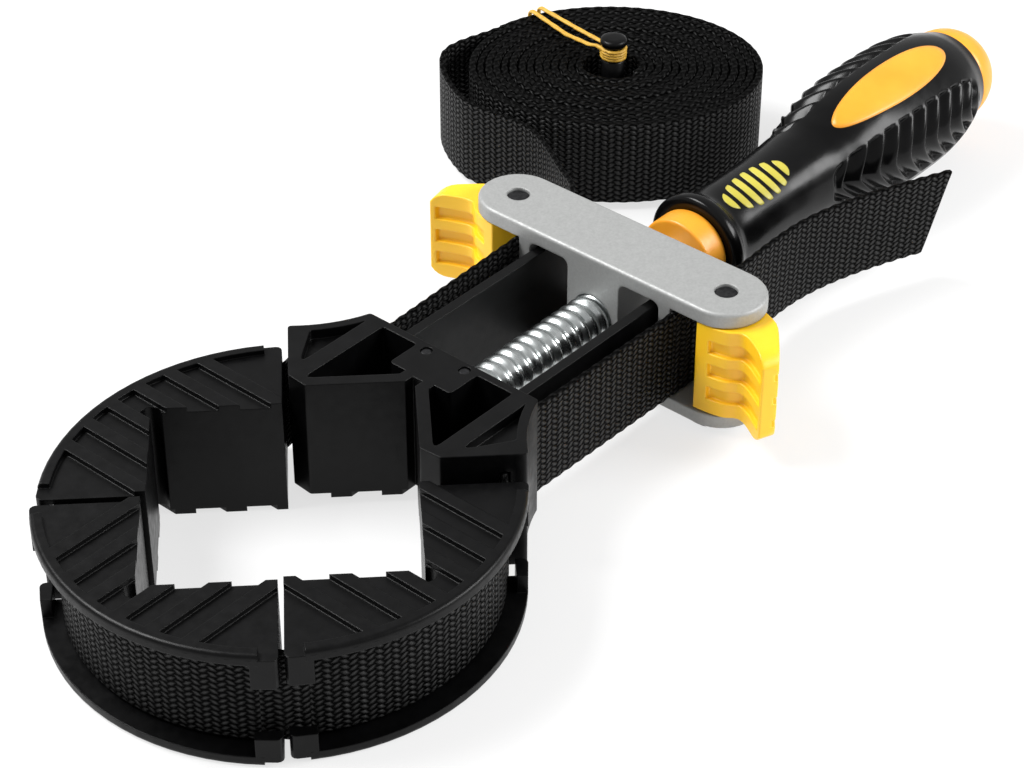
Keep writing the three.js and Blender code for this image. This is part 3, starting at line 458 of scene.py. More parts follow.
def webbing():
    """Woven polyester on the UV map in millimetres, with its relief lower on the band's narrow edges. Its
    colour and specular level are painted light from the yarn's height: painted shade in the gaps, painted
    highlights on the yarns' tops, and fewer of these highlights on the narrow edges.
    """
    n = Nodes("webbing", (0.012, 0.012, 0.012), 0.6)
    weave = n.split(n.add("ShaderNodeUVMap", uv_map="weave").outputs[0])
    even = yarn_height(n, weave[0], weave[1], 0.0, YARN_LEAN)
    odd = yarn_height(n, weave[0], weave[1], 0.5, -YARN_LEAN)
    normal = n.split(n.add("ShaderNodeNewGeometry").outputs["True Normal"])
    # Faces that point up or down, the band's narrow edges, keep less of the yarn's height: lower relief
    # and less painted highlight.
    edge = n.spread(n.math("ABSOLUTE", normal[2]), 1.0, 0.4, start=0.5, end=0.9)
    top = n.math("MULTIPLY", n.math("MAXIMUM", even, odd), edge)
    fibre = n.noise(2600, 2)
    height = n.math("ADD", top, n.math("MULTIPLY", fibre, FIBRE_HEIGHT))
    # Painted light from the yarn's height: painted shade in the gaps between yarns, painted highlights on
    # their tops.
    painted_gap_shade, middle, painted_top_highlight = ((value,) * 3 for value in (0.0006, 0.0035, 0.019))
    n.shade("Base Color", n.ramp(height, [(0.15, painted_gap_shade), (0.55, middle), (1.0, painted_top_highlight)]))
    # The specular level follows the same height, so the gaps also get painted shade in their reflections.
    n.shade("Specular IOR Level", n.spread(height, 0.03, 0.24, end=1.0))
    n.wear(fibre, 0.42, 0.6)
    n.bump(height, WEAVE_DEPTH)
    return n.material


# Meshes

def piece(name, verts, faces, material, body, *nodes, uvs=None):
    """A smooth mesh from points in millimetres, which rides the body and stands for the nodes."""
    mesh = bpy.data.meshes.new(name)
    mesh.from_pydata([(x * MM, y * MM, z * MM) for x, y, z in verts], [], faces)
    if uvs:
        layer = mesh.uv_layers.new(name="weave")
        flat = [value for face in faces for index in face for value in uvs[index]]
        layer.data.foreach_set("uv", flat)
    bm = bmesh.new()
    bm.from_mesh(mesh)
    bmesh.ops.recalc_face_normals(bm, faces=bm.faces)
    bm.to_mesh(mesh)
    bm.free()
    mesh.polygons.foreach_set("use_smooth", [True] * len(mesh.polygons))
    mesh.materials.append(material)
    made = bpy.data.objects.new(name, mesh)
    bpy.context.scene.collection.objects.link(made)
    if body:
        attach(made, body)
    if nodes:
        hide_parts(*nodes)
    return made


def tube_faces(rings, around, loop=False):
    """Faces of a tube of rings. Its ends are capped, or in a loop joined to each other."""
    faces = []
    for i in range(rings if loop else rings - 1):
        j = (i + 1) % rings
        for k in range(around):
            m = (k + 1) % around
            faces.append((i * around + k, i * around + m, j * around + m, j * around + k))
    if not loop:
        faces.append(tuple(range(around)))
        faces.append(tuple((rings - 1) * around + k for k in reversed(range(around))))
    return faces


def joined_solid(node, material, bold):
    """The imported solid's mesh with its flat faces joined. bold(a, b) picks edges for a bevel weight."""
    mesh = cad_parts[node].data.copy()
    mesh.name = "rounded_" + node
    mesh.materials.clear()
    mesh.materials.append(material)
    bm = bmesh.new()
    bm.from_mesh(mesh)
    bmesh.ops.remove_doubles(bm, verts=bm.verts, dist=WELD * MM)
    flat = math.radians(FLAT_ANGLE)
    bmesh.ops.dissolve_limit(bm, angle_limit=flat, verts=bm.verts, edges=bm.edges)
    for face in bm.faces:
        face.smooth = True
    if bold:
        weight = bm.edges.layers.float.new("bevel_weight_edge")
        for edge in bm.edges:
            if bold(*(vertex.co / MM for vertex in edge.verts)):
                edge[weight] = 1
    bm.to_mesh(mesh)
    bm.free()
    return mesh


def add_bevel(made, name, width, segments, method):
    bevel = made.modifiers.new(name, "BEVEL")
    bevel.width = width * MM
    bevel.segments = segments
    bevel.limit_method = method
    return bevel


def rounded_copy(node, body, material, width, segments=2, bold=None, bold_width=0.0):
    """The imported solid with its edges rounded, and the edges that bold picks rounded more."""
    mesh = joined_solid(node, material, bold)
    made = bpy.data.objects.new("rounded_" + node, mesh)
    bpy.context.scene.collection.objects.link(made)
    if bold:
        wide = add_bevel(made, "bold", bold_width, BOLD_SEGMENTS, "WEIGHT")
        wide.use_clamp_overlap = False
    bevel = add_bevel(made, "bevel", width, segments, "ANGLE")
    bevel.angle_limit = math.radians(EDGE_ANGLE)
    bevel.use_clamp_overlap = True
    weighted = made.modifiers.new("weighted", "WEIGHTED_NORMAL")
    weighted.weight = 100
    weighted.keep_sharp = False
    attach(made, body)
    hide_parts(node)
    return made


def on_end_faces(node):
    """Tells whether an edge lies in the solid's top or bottom."""
    low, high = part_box(node)
    levels = (low.z / MM, high.z / MM)

    def level(a, b):
        return any(max(abs(a.z - z), abs(b.z - z)) < EDGE_TOUCH for z in levels)
    return level


def bead_edges(jaw):
    """Picks the outer edges of a jaw's rim beads, top and bottom."""
    level = on_end_faces("corner_jaw_" + jaw)
    centre = ring_point(*JAW_SHIFTS[jaw])

    def chosen(a, b):
        nearest = min(math.hypot(v.x - centre[0], v.y - centre[1]) for v in (a, b))
        return nearest > RIM_RADIUS - EDGE_TOUCH and level(a, b)
    return chosen


def plate_edges():
    """Picks the outlines of the crosshead's two outer faces, without the pins' holes."""
    level = on_end_faces("crosshead")

    def chosen(a, b):
        apart = all(math.hypot(v.x, abs(v.y) - PIN_Y) > PIN_HOLE_REACH for v in (a, b))
        return apart and level(a, b)
    return chosen


# Band

def band_point(x, y, middle, lean=0.0, thickness=BAND_THICKNESS):
    """A place on the band: plan, height of its middle, how far its top leans out, and thickness."""
    return (x, y, middle, lean, thickness)


def ring_point(p, q):
    """A plan point from the ring's own two directions, which lie at 45 degrees to X and Y."""
    return (RING_X + (p + q) / ROOT2, (q - p) / ROOT2)


def arc_points(cx, cy, radius, start, end, steps):
    points = []
    for i in range(steps + 1):
        angle = math.radians(start + (end - start) * i / steps)
        points.append((cx + radius * math.cos(angle), cy + radius * math.sin(angle)))
    return points


def bezier(a, b, c, d, steps):
    points = []
    for i in range(steps + 1):
        t = i / steps
        s = 1 - t
        weights = (s ** 3, 3 * s * s * t, 3 * s * t * t, t ** 3)
        points.append(tuple(sum(w * p[k] for w, p in zip(weights, (a, b, c, d))) for k in (0, 1)))
    return points


def resample(path, step):
    """Band points at even distances along the path, and the path's length."""
    lengths = [0.0]
    for a, b in zip(path, path[1:]):
        lengths.append(lengths[-1] + math.hypot(b[0] - a[0], b[1] - a[1]))
    count = max(2, round(lengths[-1] / step))
    result = []
    k = 0
    for i in range(count + 1):
        at = lengths[-1] * i / count
        while k < len(path) - 2 and lengths[k + 1] < at:
            k += 1
        t = (at - lengths[k]) / (lengths[k + 1] - lengths[k])
        result.append(tuple(a + (b - a) * t for a, b in zip(path[k], path[k + 1])))
    return result, lengths[-1]


def strip_section(across=8):
    """(sideways, up, weave) once round the band; the weave runs on round its edges in whole rows."""
    half_t, half_w = BAND_THICKNESS / 2, BAND_WIDTH / 2
    flat = BAND_WIDTH - 2 * FACE_INSET
    face = [FACE_INSET - half_w + flat * i / across for i in range(across + 1)]
    side, edge, seam = half_t * SHOULDER_SHARE, half_w - SHOULDER_INSET, half_w - SEAM_INSET
    points = [(-SEAM_HALF, -seam), (-side, -edge)]
    points += [(-half_t, up) for up in face]
    points += [(-side, edge), (side, edge)]
    points += [(half_t, up) for up in reversed(face)]
    points += [(side, -edge), (SEAM_HALF, -seam)]
    runs = [0.0]
    for a, b in zip(points, points[1:]):
        runs.append(runs[-1] + math.dist(a, b))
    rows = round(runs[-1] / (2 * WEAVE_ROW)) * 2 * WEAVE_ROW
    return [(side, up, rows * run / runs[-1]) for (side, up), run in zip(points, runs)]


def selvedge_offset(up, along, wave):
    """The wavy narrow edges: how far the weft draws them in."""
    if abs(up) <= BAND_WIDTH / 2 - SELVEDGE:
        return 0.0
    side = math.copysign(1, up)
    turn = 2 * math.pi * along / WEAVE_PERIOD + (0 if up > 0 else math.pi)
    return side * wave * (math.cos(turn) - 1)


def band_piece(name, path, body, node, material, step=BAND_STEP, slant=0.0, wave=SELVEDGE_WAVE):
    """A piece of band along a path of band points. slant cuts its end askew."""
    points, length = resample(path, step)
    section = strip_section()
    verts, uvs = [], []
    for i, (x, y, middle, lean, thickness) in enumerate(points):
        before = points[max(i - 1, 0)]
        after = points[min(i + 1, len(points) - 1)]
        size = math.hypot(after[0] - before[0], after[1] - before[1])
        tx, ty = (after[0] - before[0]) / size, (after[1] - before[1]) / size
        at = length * i / (len(points) - 1)
        short = slant * max(0, 1 - (length - at) / TAIL_SLANT_REACH)
        for side, up, weave in section:
            back = short * (0.5 - up / BAND_WIDTH)
            along = at - back
            across = side * thickness / BAND_THICKNESS + lean * up / (BAND_WIDTH / 2)
            z = middle + up + selvedge_offset(up, along, wave)
            verts.append((x - ty * across - tx * back, y + tx * across - ty * back, z))
            uvs.append((along, weave))
    faces = tube_faces(len(points), len(section))
    made = piece(name, verts, faces, material, body, uvs=uvs)
    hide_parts(node)
    return made


def gap_piece(gap, path, weave):
    """A short piece of band between two bodies and on neither of them; the line between them is level."""
    made = band_piece("webbing_gap_" + gap, path, None, "band_gap_" + gap, weave, step=GAP_STEP)
    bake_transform(made)


def exit_angle():
    return math.atan2(GRIP_Y - EXIT_Y, HEAD_BACK - BAND_START)


def channel_path(start):
    """The band through the head's wing: straight from the ring, then round the bend to the exit."""
    turn = exit_angle()
    fit = math.sin(turn) - math.cos(turn) + ROOT2
    radius = (-RING_X - HEAD_BACK + EXIT_Y - BAND_RADIUS * ROOT2) / fit
    bend_x = -HEAD_BACK - radius * (math.sin(turn) + 1 / ROOT2)
    bend_y = EXIT_Y + radius * (math.cos(turn) - 1 / ROOT2)
    centre = (bend_x + radius / ROOT2, bend_y + radius / ROOT2)
    bend = arc_points(*centre, radius, 225, 270 + math.degrees(turn), 10)
    whole = (-RING_X - HEAD_BACK) * ROOT2 - BAND_RADIUS - HEAD_GAP
    path = []
    for x, y in [ring_point(start, BAND_RADIUS)] + bend:
        along = (x - RING_X - y) / ROOT2
        path.append(band_point(x, y, MOUTH_MID + (EXIT_MID - MOUTH_MID) * (along - HEAD_GAP) / whole))
    return path


def mirror_path(path, side):
    return [(x, side * y, *rest) for x, y, *rest in path]


def ring_arc(direction, shift):
    """The arc whose middle is at that angle round the ring, moved with its jaw."""
    cover = math.degrees(GAP_REACH / BAND_RADIUS)
    start, end = direction - 45 + cover, direction + 45 - cover
    points = arc_points(*ring_point(*shift), BAND_RADIUS, start, end, 40)
    return [band_point(x, y, JAW_MID) for x, y in points]


def ring_gap(place, first, second):
    """The band between two jaws; each jaw's shift is (along the gap, out from the ring)."""
    top = BAND_RADIUS + max(first[1], second[1])
    points = [
        place(first[0] - GAP_REACH, GAP_LEVEL + first[1]),
        place(first[0] - JAW_CLEARANCE, top),
        place(second[0] + JAW_CLEARANCE, top),
        place(second[0] + GAP_REACH, GAP_LEVEL + second[1]),
    ]
    return [band_point(x, y, JAW_MID) for x, y in points]


def head_gap(place, shift):
    """The band between a jaw and the head."""
    top = BAND_RADIUS + max(shift[1], 0)
    return [
        band_point(*place(shift[0] - GAP_REACH, GAP_LEVEL + shift[1]), JAW_MID),
        band_point(*place(shift[0] - JAW_CLEARANCE, top), JAW_MID),
        band_point(*place(HEAD_GAP, BAND_RADIUS), MOUTH_MID),
        band_point(*place(HEAD_GAP + POCKET_LENGTH, BAND_RADIUS), MOUTH_MID + POCKET_RISE),
    ]


def run_path():
    return [
        band_point(-HEAD_BACK + JOINT_GAP, EXIT_Y, EXIT_MID),
        band_point(-BAND_START - JOINT_GAP, GRIP_Y, AXIS_Z),
    ]


def tail_path():
    wx, wy = TAIL_WAIST
    ex, ey = TAIL_END
    half = (BAND_START + wx) / 2
    reach = (ex - wx) / 3
    first = bezier((BAND_START, -GRIP_Y), (half, -GRIP_Y), (half, -wy), (wx, -wy), 24)
    second = bezier((wx, -wy), (wx + reach, -wy), (ex - reach, -(ey + wy) / 2), (ex, -ey), 30)
    path = []
    for x, y in [(-BAND_START, -GRIP_Y)] + first + second[1:]:
        lean = -TAIL_LEAN * smooth_step(BAND_START, ex, x)
        path.append(band_point(x, y, AXIS_Z, lean))
    return path


def catmull(points, steps):
    """A centripetal curve through plan points."""
    ends = [tuple(2 * a - b for a, b in zip(points[0], points[1]))]
    ends += points
    ends += [tuple(2 * a - b for a, b in zip(points[-1], points[-2]))]

    def mix(a, b, start, end, t):
        return tuple(((end - t) * x + (t - start) * y) / (end - start) for x, y in zip(a, b))

    result = []
    for p0, p1, p2, p3 in zip(ends, ends[1:], ends[2:], ends[3:]):
        knots = [0.0]
        for a, b in ((p0, p1), (p1, p2), (p2, p3)):
            knots.append(knots[-1] + math.sqrt(math.dist(a, b)))
        t0, t1, t2, t3 = knots
        for i in range(steps):
            t = t1 + (t2 - t1) * i / steps
            a1, a2, a3 = mix(p0, p1, t0, t1, t), mix(p1, p2, t1, t2, t), mix(p2, p3, t2, t3, t)
            b1, b2 = mix(a1, a2, t0, t2, t), mix(a2, a3, t1, t3, t)
            result.append(mix(b1, b2, t1, t2, t))
    return result + [points[-1]]


def lead_path():
    """From the crosshead round the bends to the coil, sinking to the coil's height."""
    leave, turn = LEAD_KNOTS[:2]
    toward = math.atan2(turn[1] - leave[1], turn[0] - leave[0])
    pull_x = leave[0] - LEAD_LEAVE_PULL * math.cos(toward)
    pull_y = leave[1] - LEAD_LEAVE_PULL * math.sin(toward)
    start_pull = (LEAD_START + LEAD_START_PULL, GRIP_Y)
    first = bezier((LEAD_START, GRIP_Y), start_pull, (pull_x, pull_y), leave, 24)
    end = coil_point(0, COIL_RADIUS)
    rest = catmull([*LEAD_KNOTS, (end[0] - JOINT_GAP, end[1])], 16)
    plan = [(-BAND_START, GRIP_Y)] + first + rest[1:]
    drop = len(first) + len(rest) // 3
    path = []
    for i, (x, y) in enumerate(plan):
        share = smooth_step(LEAD_LEVEL_STEPS, LEAD_LEVEL_STEPS + drop, i)
        path.append(band_point(x, y, AXIS_Z + (COIL_MID - AXIS_Z) * share))
    return path


def coil_angle(turn):
    return math.radians(COIL_START_ANGLE) - 2 * math.pi * turn


def coil_point(turn, radius):
    """The round spiral drawn out to an oval."""
    angle = coil_angle(turn)
    x, y = radius * math.cos(angle), radius * math.sin(angle)
    long = math.radians(COIL_LONG_ANGLE)
    along = x * math.cos(long) + y * math.sin(long)
    drawn = (COIL_LONG_RADIUS / COIL_RADIUS - 1) * along
    return (COIL[0] + x + drawn * math.cos(long), COIL[1] + y + drawn * math.sin(long))


def coil_shift(turn):
    """Groups of turns lie a little off each other, so their gaps open and close."""
    off_x = off_y = 0.0
    for first, toward, size in COIL_SHIFTS:
        share = smooth_step(first, first + COIL_SHIFT_TURN, turn) * size
        off_x += share * math.cos(math.radians(toward))
        off_y += share * math.sin(math.radians(toward))
    return off_x, off_y


def coil_height(turn):
    """The turns stand a little uneven; the first one starts level with the lead."""
    angle = coil_angle(turn)
    place = Vector((turn * COIL_UNEVEN[1], math.cos(angle), math.sin(angle)))
    lift = COIL_ROLL[0] * math.sin(turn * COIL_ROLL[1]) + COIL_UNEVEN[0] * noise.noise(place)
    return COIL_MID + lift * min(1, turn)


def coil_thickness(turn):
    """The turns are drawn thicker where the oval is long, so that they fill it."""
    long_share = math.cos(coil_angle(turn) - math.radians(COIL_LONG_ANGLE)) ** 2
    thin, thick = COIL_THICKNESS
    drawn = thin + (thick - thin) * long_share
    return BAND_THICKNESS + (drawn - BAND_THICKNESS) * min(1, turn * 2)


def coil_path():
    path = []
    for i in range(int(COIL_TURNS * COIL_STEPS) + 1):
        turn = i / COIL_STEPS
        wobble = COIL_WOBBLE[0] * math.sin(turn * COIL_WOBBLE[1])
        radius = COIL_RADIUS - COIL_PITCH * turn + wobble
        x, y = coil_point(turn, radius)
        off_x, off_y = coil_shift(turn)
        path.append(band_point(x + off_x, y + off_y, coil_height(turn), 0.0, coil_thickness(turn)))
    return path


def make_sides(weave):
    """On each side the channel piece in the head and the run along the rail."""
    channel = channel_path(HEAD_GAP + POCKET_LENGTH + JOINT_GAP)
    for name, side in SIDES:
        path = mirror_path(channel, side)
        band_piece("webbing_channel_" + name, path, "head", "band_channel_" + name, weave)
        path = mirror_path(run_path(), side)
        run = band_piece("webbing_run_" + name, path, None, "band_run_" + name, weave)
        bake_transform(run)


def make_gaps(weave):
    """The pieces between the jaws and the head. A place function takes (along, out) to the plan."""
    left, front, right = (JAW_SHIFTS[name] for name in ("left", "front", "right"))
    path = head_gap(ring_point, left)
    gap_piece("head_left", path, weave)
    path = head_gap(lambda along, out: ring_point(out, along), right[::-1])
    gap_piece("head_right", path, weave)
    path = ring_gap(
        lambda along, out: ring_point(-out, -along),
        (-left[1], -left[0]),
        (-front[1], -front[0]),
    )
    gap_piece("front_left", path, weave)
    path = ring_gap(
        lambda along, out: ring_point(along, -out),
        (front[0], -front[1]),
        (right[0], -right[1]),
    )
    gap_piece("front_right", path, weave)


def make_band():
    weave = webbing()
    for name, direction, body in RING_ARCS:
        path = ring_arc(direction, JAW_SHIFTS[name])
        band_piece("webbing_arc_" + name, path, body, "band_arc_" + name, weave)
    make_sides(weave)
    make_gaps(weave)
    band_piece("webbing_tail", tail_path(), "crosshead", "band_tail", weave, slant=TAIL_SLANT)
    band_piece("webbing_lead", lead_path(), "crosshead", "band_lead", weave)
    band_piece("webbing_coil", coil_path(), "crosshead", "band_coil", weave,
               step=COIL_STEP, wave=COIL_SELVEDGE_WAVE)


# Handle

def smooth_step(low, high, value):
    t = min(1, max(0, (value - low) / (high - low)))
    return t * t * (3 - 2 * t)


def profile_radius(x):
    """The grip's radius at x: a smooth curve through its profile, level beyond its ends."""
    points = GRIP_PROFILE
    last = len(points) - 1
    x = min(max(x, points[0][0]), points[last][0])
    i = next(k for k in range(last) if x <= points[k + 1][0])
    (xa, ra), (xb, rb) = points[i], points[i + 1]
    before, after = points[max(i - 1, 0)], points[min(i + 2, last)]
    slope_a = (rb - before[1]) / (xb - before[0])
    slope_b = (after[1] - ra) / (after[0] - xa)
    h = xb - xa
    t = (x - xa) / h
    return (
        (2 * t ** 3 - 3 * t ** 2 + 1) * ra + (t ** 3 - 2 * t ** 2 + t) * h * slope_a
        + (-2 * t ** 3 + 3 * t ** 2) * rb + (t ** 3 - t ** 2) * h * slope_b
    )


def panel_mask(x, turn):
    """1 inside a side panel, 0 outside: the panel is a long oval with a blunt back."""
    middle = (PANEL_FRONT + PANEL_BACK) / 2
    half = (PANEL_BACK - PANEL_FRONT) / 2
    reach = abs(x - middle) / half
    side = abs(turn) / PANEL_HALF_ANGLE
    apart = (reach ** PANEL_SQUARENESS + side ** PANEL_SQUARENESS) ** (1 / PANEL_SQUARENESS)
    return 1 - smooth_step(PANEL_EDGE, 1.0, apart)


def grip_radius(x, angle):
    """The grip with its panels of swept ribs; angle goes round the axis from the inlays' middle."""
    radius = profile_radius(x)
    turn = (angle + 180) % 360 - 180
    from_side = abs(turn) - PANEL_SIDE
    mask = panel_mask(x, from_side)
    if mask <= 0:
        return radius
    reach = from_side / PANEL_HALF_ANGLE
    size, power = RIB_UPPER_SWEEP if reach < 0 else RIB_LOWER_SWEEP
    phase = ((x - size * abs(reach) ** power) / RIB_PITCH) % 1.0
    ridge = smooth_step(*RIB_RISE, phase) * (1 - smooth_step(*RIB_FALL, phase))
    return radius + mask * (RIB_HEIGHT * ridge - PANEL_DEPTH)


def on_circle(x, radius, angle):
    """A point round the axis; angle 0 is the inlays' middle, which is turned from +Z towards -Y."""
    turn = math.radians(angle + INLAY_TURN)
    return (x, -radius * math.sin(turn), AXIS_Z + radius * math.cos(turn))


def on_grip(x, angle, proud=0.0):
    return on_circle(x, grip_radius(x, angle) + proud, angle)


def circle(x, radius, around):
    return [on_circle(x, radius, 360 * k / around) for k in range(around)]


def make_grip(material):
    """A closed sleeve: the front lip, the outside, the back lip, and the wall round the core."""
    start, end = GRIP_PROFILE[0][0], GRIP_PROFILE[-1][0]
    verts = []
    for off, radius in GRIP_FRONT_LIP:
        verts += circle(start + off, radius, GRIP_AROUND)
    for i in range(GRIP_STATIONS + 1):
        x = start + (end - start) * i / GRIP_STATIONS
        verts += [on_grip(x, 360 * k / GRIP_AROUND) for k in range(GRIP_AROUND)]
    for off, radius in GRIP_BACK_LIP:
        verts += circle(end + off, radius, GRIP_AROUND)
    faces = tube_faces(len(verts) // GRIP_AROUND, GRIP_AROUND, loop=True)
    return piece("soft_grip", verts, faces, material, "screw_and_handle", "handle_grip")


def turned_piece(name, profile, material, body, *nodes, around=96):
    verts = []
    for x, radius in profile:
        verts += circle(x, radius, around)
    return piece(name, verts, tube_faces(len(profile), around), material, body, *nodes)


def round_profile(points, radius, steps=5):
    """The profile with each inner corner rounded."""
    result = [points[0]]
    for before, corner, after in zip(points, points[1:], points[2:]):
        a, c, b = Vector(before), Vector(corner), Vector(after)
        reach = min(radius, (a - c).length / 2.2, (b - c).length / 2.2)
        start = c + (a - c).normalized() * reach
        end = c + (b - c).normalized() * reach
        for i in range(steps + 1):
            t = i / steps
            result.append(tuple(start * (1 - t) ** 2 + c * 2 * t * (1 - t) + end * t * t))
    return result + [points[-1]]


def inlay(name, middle, outline, material, proud):
    """A thin pad on the grip: outline(angle) gives (x, sideways) in millimetres for a full turn."""
    around, rings = 72, 12
    first = 0.02
    rim = [outline(2 * math.pi * k / around) for k in range(around)]
    verts = []
    for r in range(rings + 1):
        share = (r + first) / rings if r < rings else 1.0
        height = proud * (1 - INLAY_EDGE_DROP * smooth_step(INLAY_EDGE, 1.0, share))
        for rim_x, rim_side in rim:
            x = middle + (rim_x - middle) * share
            verts.append(on_grip(x, math.degrees(rim_side * share / profile_radius(x)), height))
    for x, side in rim:
        verts.append(on_grip(x, math.degrees(side / profile_radius(x)), -INLAY_DEPTH))
    faces = tube_faces(rings + 2, around)
    made = piece(name, verts, faces, material, "screw_and_handle")
    return made


def oval(angle):
    """The oval inlay's outline, a little fuller at its back."""
    middle, half_length, half_width = OVAL_INLAY
    ahead = math.cos(angle)
    side = half_width * math.sin(angle) * (OVAL_FULLNESS + OVAL_TAPER * ahead)
    return (middle + half_length * ahead, side)


def stripe(x):
    """The outline of one stripe of the oval group of stripes, bowed back at its ends."""
    middle, half_length, half_width = STRIPE_INLAY

    def outline(angle):
        ahead, across = math.cos(angle), math.sin(angle)
        edge_x = x + STRIPE_WIDTH / 2 * math.copysign(abs(ahead) ** STRIPE_END_POWER, ahead)
        limit = half_width * math.sqrt(max(0.02, 1 - ((edge_x - middle) / half_length) ** 2))
        side = limit * math.copysign(abs(across) ** STRIPE_SIDE_POWER, across)
        return (edge_x + STRIPE_BOW * side * side, side)
    return outline


def dome_profile():
    points = list(DOME_FRONT)
    for angle in range(0, 90, 6):
        turn = math.radians(angle)
        x = DOME_START + DOME_LENGTH * math.sin(turn)
        points.append((x, DOME_RADIUS * math.cos(turn) ** DOME_BLUNTNESS))
    return points + [DOME_TIP]


def make_handle():
    yellow = yellow_plastic("handle_yellow", (0.85, 0.33, 0.020), (0.91, 0.39, 0.032))
    olive = yellow_plastic("stripe_yellow", (0.46, 0.40, 0.05), (0.55, 0.49, 0.07))
    make_grip(soft_grip())
    collar = round_profile(COLLAR_PROFILE, COLLAR_ROUND)
    turned_piece("handle_collar", collar, yellow, "screw_and_handle", "handle_core")
    turned_piece("handle_dome", dome_profile(), yellow, "screw_and_handle")
    inlay("handle_oval", OVAL_INLAY[0], oval, yellow, OVAL_PROUD)
    for i in range(STRIPE_COUNT):
        x = STRIPE_INLAY[0] + (i - (STRIPE_COUNT - 1) / 2) * STRIPE_PITCH
        inlay(f"handle_stripe_{i + 1}", x, stripe(x), olive, STRIPE_PROUD)


# Screw

def thread_radius(x, turn):
    phase = ((x - THREAD_PITCH * turn) / THREAD_PITCH) % 1.0
    wave = 0.5 - 0.5 * math.cos(2 * math.pi * phase)
    return SCREW_RADIUS - THREAD_DEPTH + THREAD_DEPTH * wave ** THREAD_CREST


def make_screw(material):
    """The rounded thread, which fades into the neck in the head."""
    around = 64
    start, full = (SCREW_NECK_BACK + off for off in SCREW_NECK_FADE)
    count = int((SCREW_END - SCREW_NECK_BACK) / (THREAD_PITCH / THREAD_STEPS))
    verts = []
    for i in range(count + 1):
        x = start + (SCREW_END - start) * i / count
        fade = smooth_step(start, full, x)
        for k in range(around):
            turn = k / around
            angle = 2 * math.pi * turn
            radius = SCREW_NECK_RADIUS + (thread_radius(x, turn) - SCREW_NECK_RADIUS) * fade
            verts.append((x, -radius * math.sin(angle), AXIS_Z + radius * math.cos(angle)))
    faces = tube_faces(count + 1, around)
    return piece("threaded_screw", verts, faces, material, "screw_and_handle", "screw")


# Pins, peg and elastic

def upright_piece(name, profile, x, y, material, body, *nodes, around=64):
    verts = []
    for radius, z in profile:
        for k in range(around):
            angle = 2 * math.pi * k / around
            verts.append((x + radius * math.cos(angle), y + radius * math.sin(angle), z))
    return piece(name, verts, tube_faces(len(profile), around), material, body, *nodes)


def pin_profile(radius, bottom, top):
    corners = [(CAP_RADIUS, bottom), (radius, bottom), (radius, top), (CAP_RADIUS, top)]
    return round_profile(corners, PIN_ROUND)


def make_pins(material):
    neck_x, neck_y = NECK_PIN
    for name, side in SIDES:
        node = "pivot_pin_" + name
        low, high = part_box(node)
        profile = pin_profile(PIVOT_PIN_RADIUS, low.z / MM, high.z / MM - PIVOT_PIN_INSET)
        upright_piece("rivet_" + name, profile, 0, side * PIN_Y, material, "crosshead", node)
        node = "neck_pin_" + name
        low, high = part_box(node)
        profile = pin_profile(NECK_PIN_RADIUS, low.z / MM, high.z / MM)
        upright_piece("roll_pin_" + name, profile, neck_x, side * neck_y, material, "head", node,
                      around=32)


def peg_centre():
    low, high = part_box("coil_peg")
    return ((low.x + high.x) / 2 / MM, (low.y + high.y) / 2 / MM)


def make_peg(material):
    x, y = peg_centre()
    upright_piece("coil_plug", PEG_FOOT + PEG_WAIST + PEG_HEAD, x, y, material, "crosshead", "coil_peg")


def coil_reach(centre, out):
    """How far the coil's outer turn goes out from the peg under the elastic."""
    steps = 144
    reach = 0.0
    for step in range(steps):
        x, y = coil_point(step / steps, COIL_RADIUS)
        off_x, off_y = x - centre[0], y - centre[1]
        if abs(off_y * out[0] - off_x * out[1]) < ELASTIC_HALF_SPAN:
            reach = max(reach, off_x * out[0] + off_y * out[1])
    return reach


def elastic_strand(reach, top, drop):
    """One strand as (along, across, height): from the peg's neck over the coil and back to its foot."""
    low = FLOOR_Z + ELASTIC_LIFT
    rim = FLOOR_Z + COIL_LIFT + BAND_WIDTH + ELASTIC_LIFT
    corner = reach - ELASTIC_BEND
    points = [(0, ELASTIC_NECK, top), (ELASTIC_BESIDE, ELASTIC_NECK, top)]
    points += [(*ELASTIC_TURN, (top + rim) / 2 + drop), (*ELASTIC_RIM, rim + 0.1)]
    quarter = [math.radians(angle) for angle in range(0, 91, 18)]
    for turn in quarter:
        height = rim - ELASTIC_BEND + ELASTIC_BEND * math.cos(turn)
        points.append((corner + ELASTIC_BEND * math.sin(turn), ELASTIC_BEND, height))
    for turn in quarter:
        height = low + ELASTIC_BEND - ELASTIC_BEND * math.sin(turn)
        points.append((corner + ELASTIC_BEND * math.cos(turn), ELASTIC_BEND, height))
    return points + [(along, ELASTIC_FOOT, low) for along in (ELASTIC_TURN[0], ELASTIC_BESIDE, 0)]


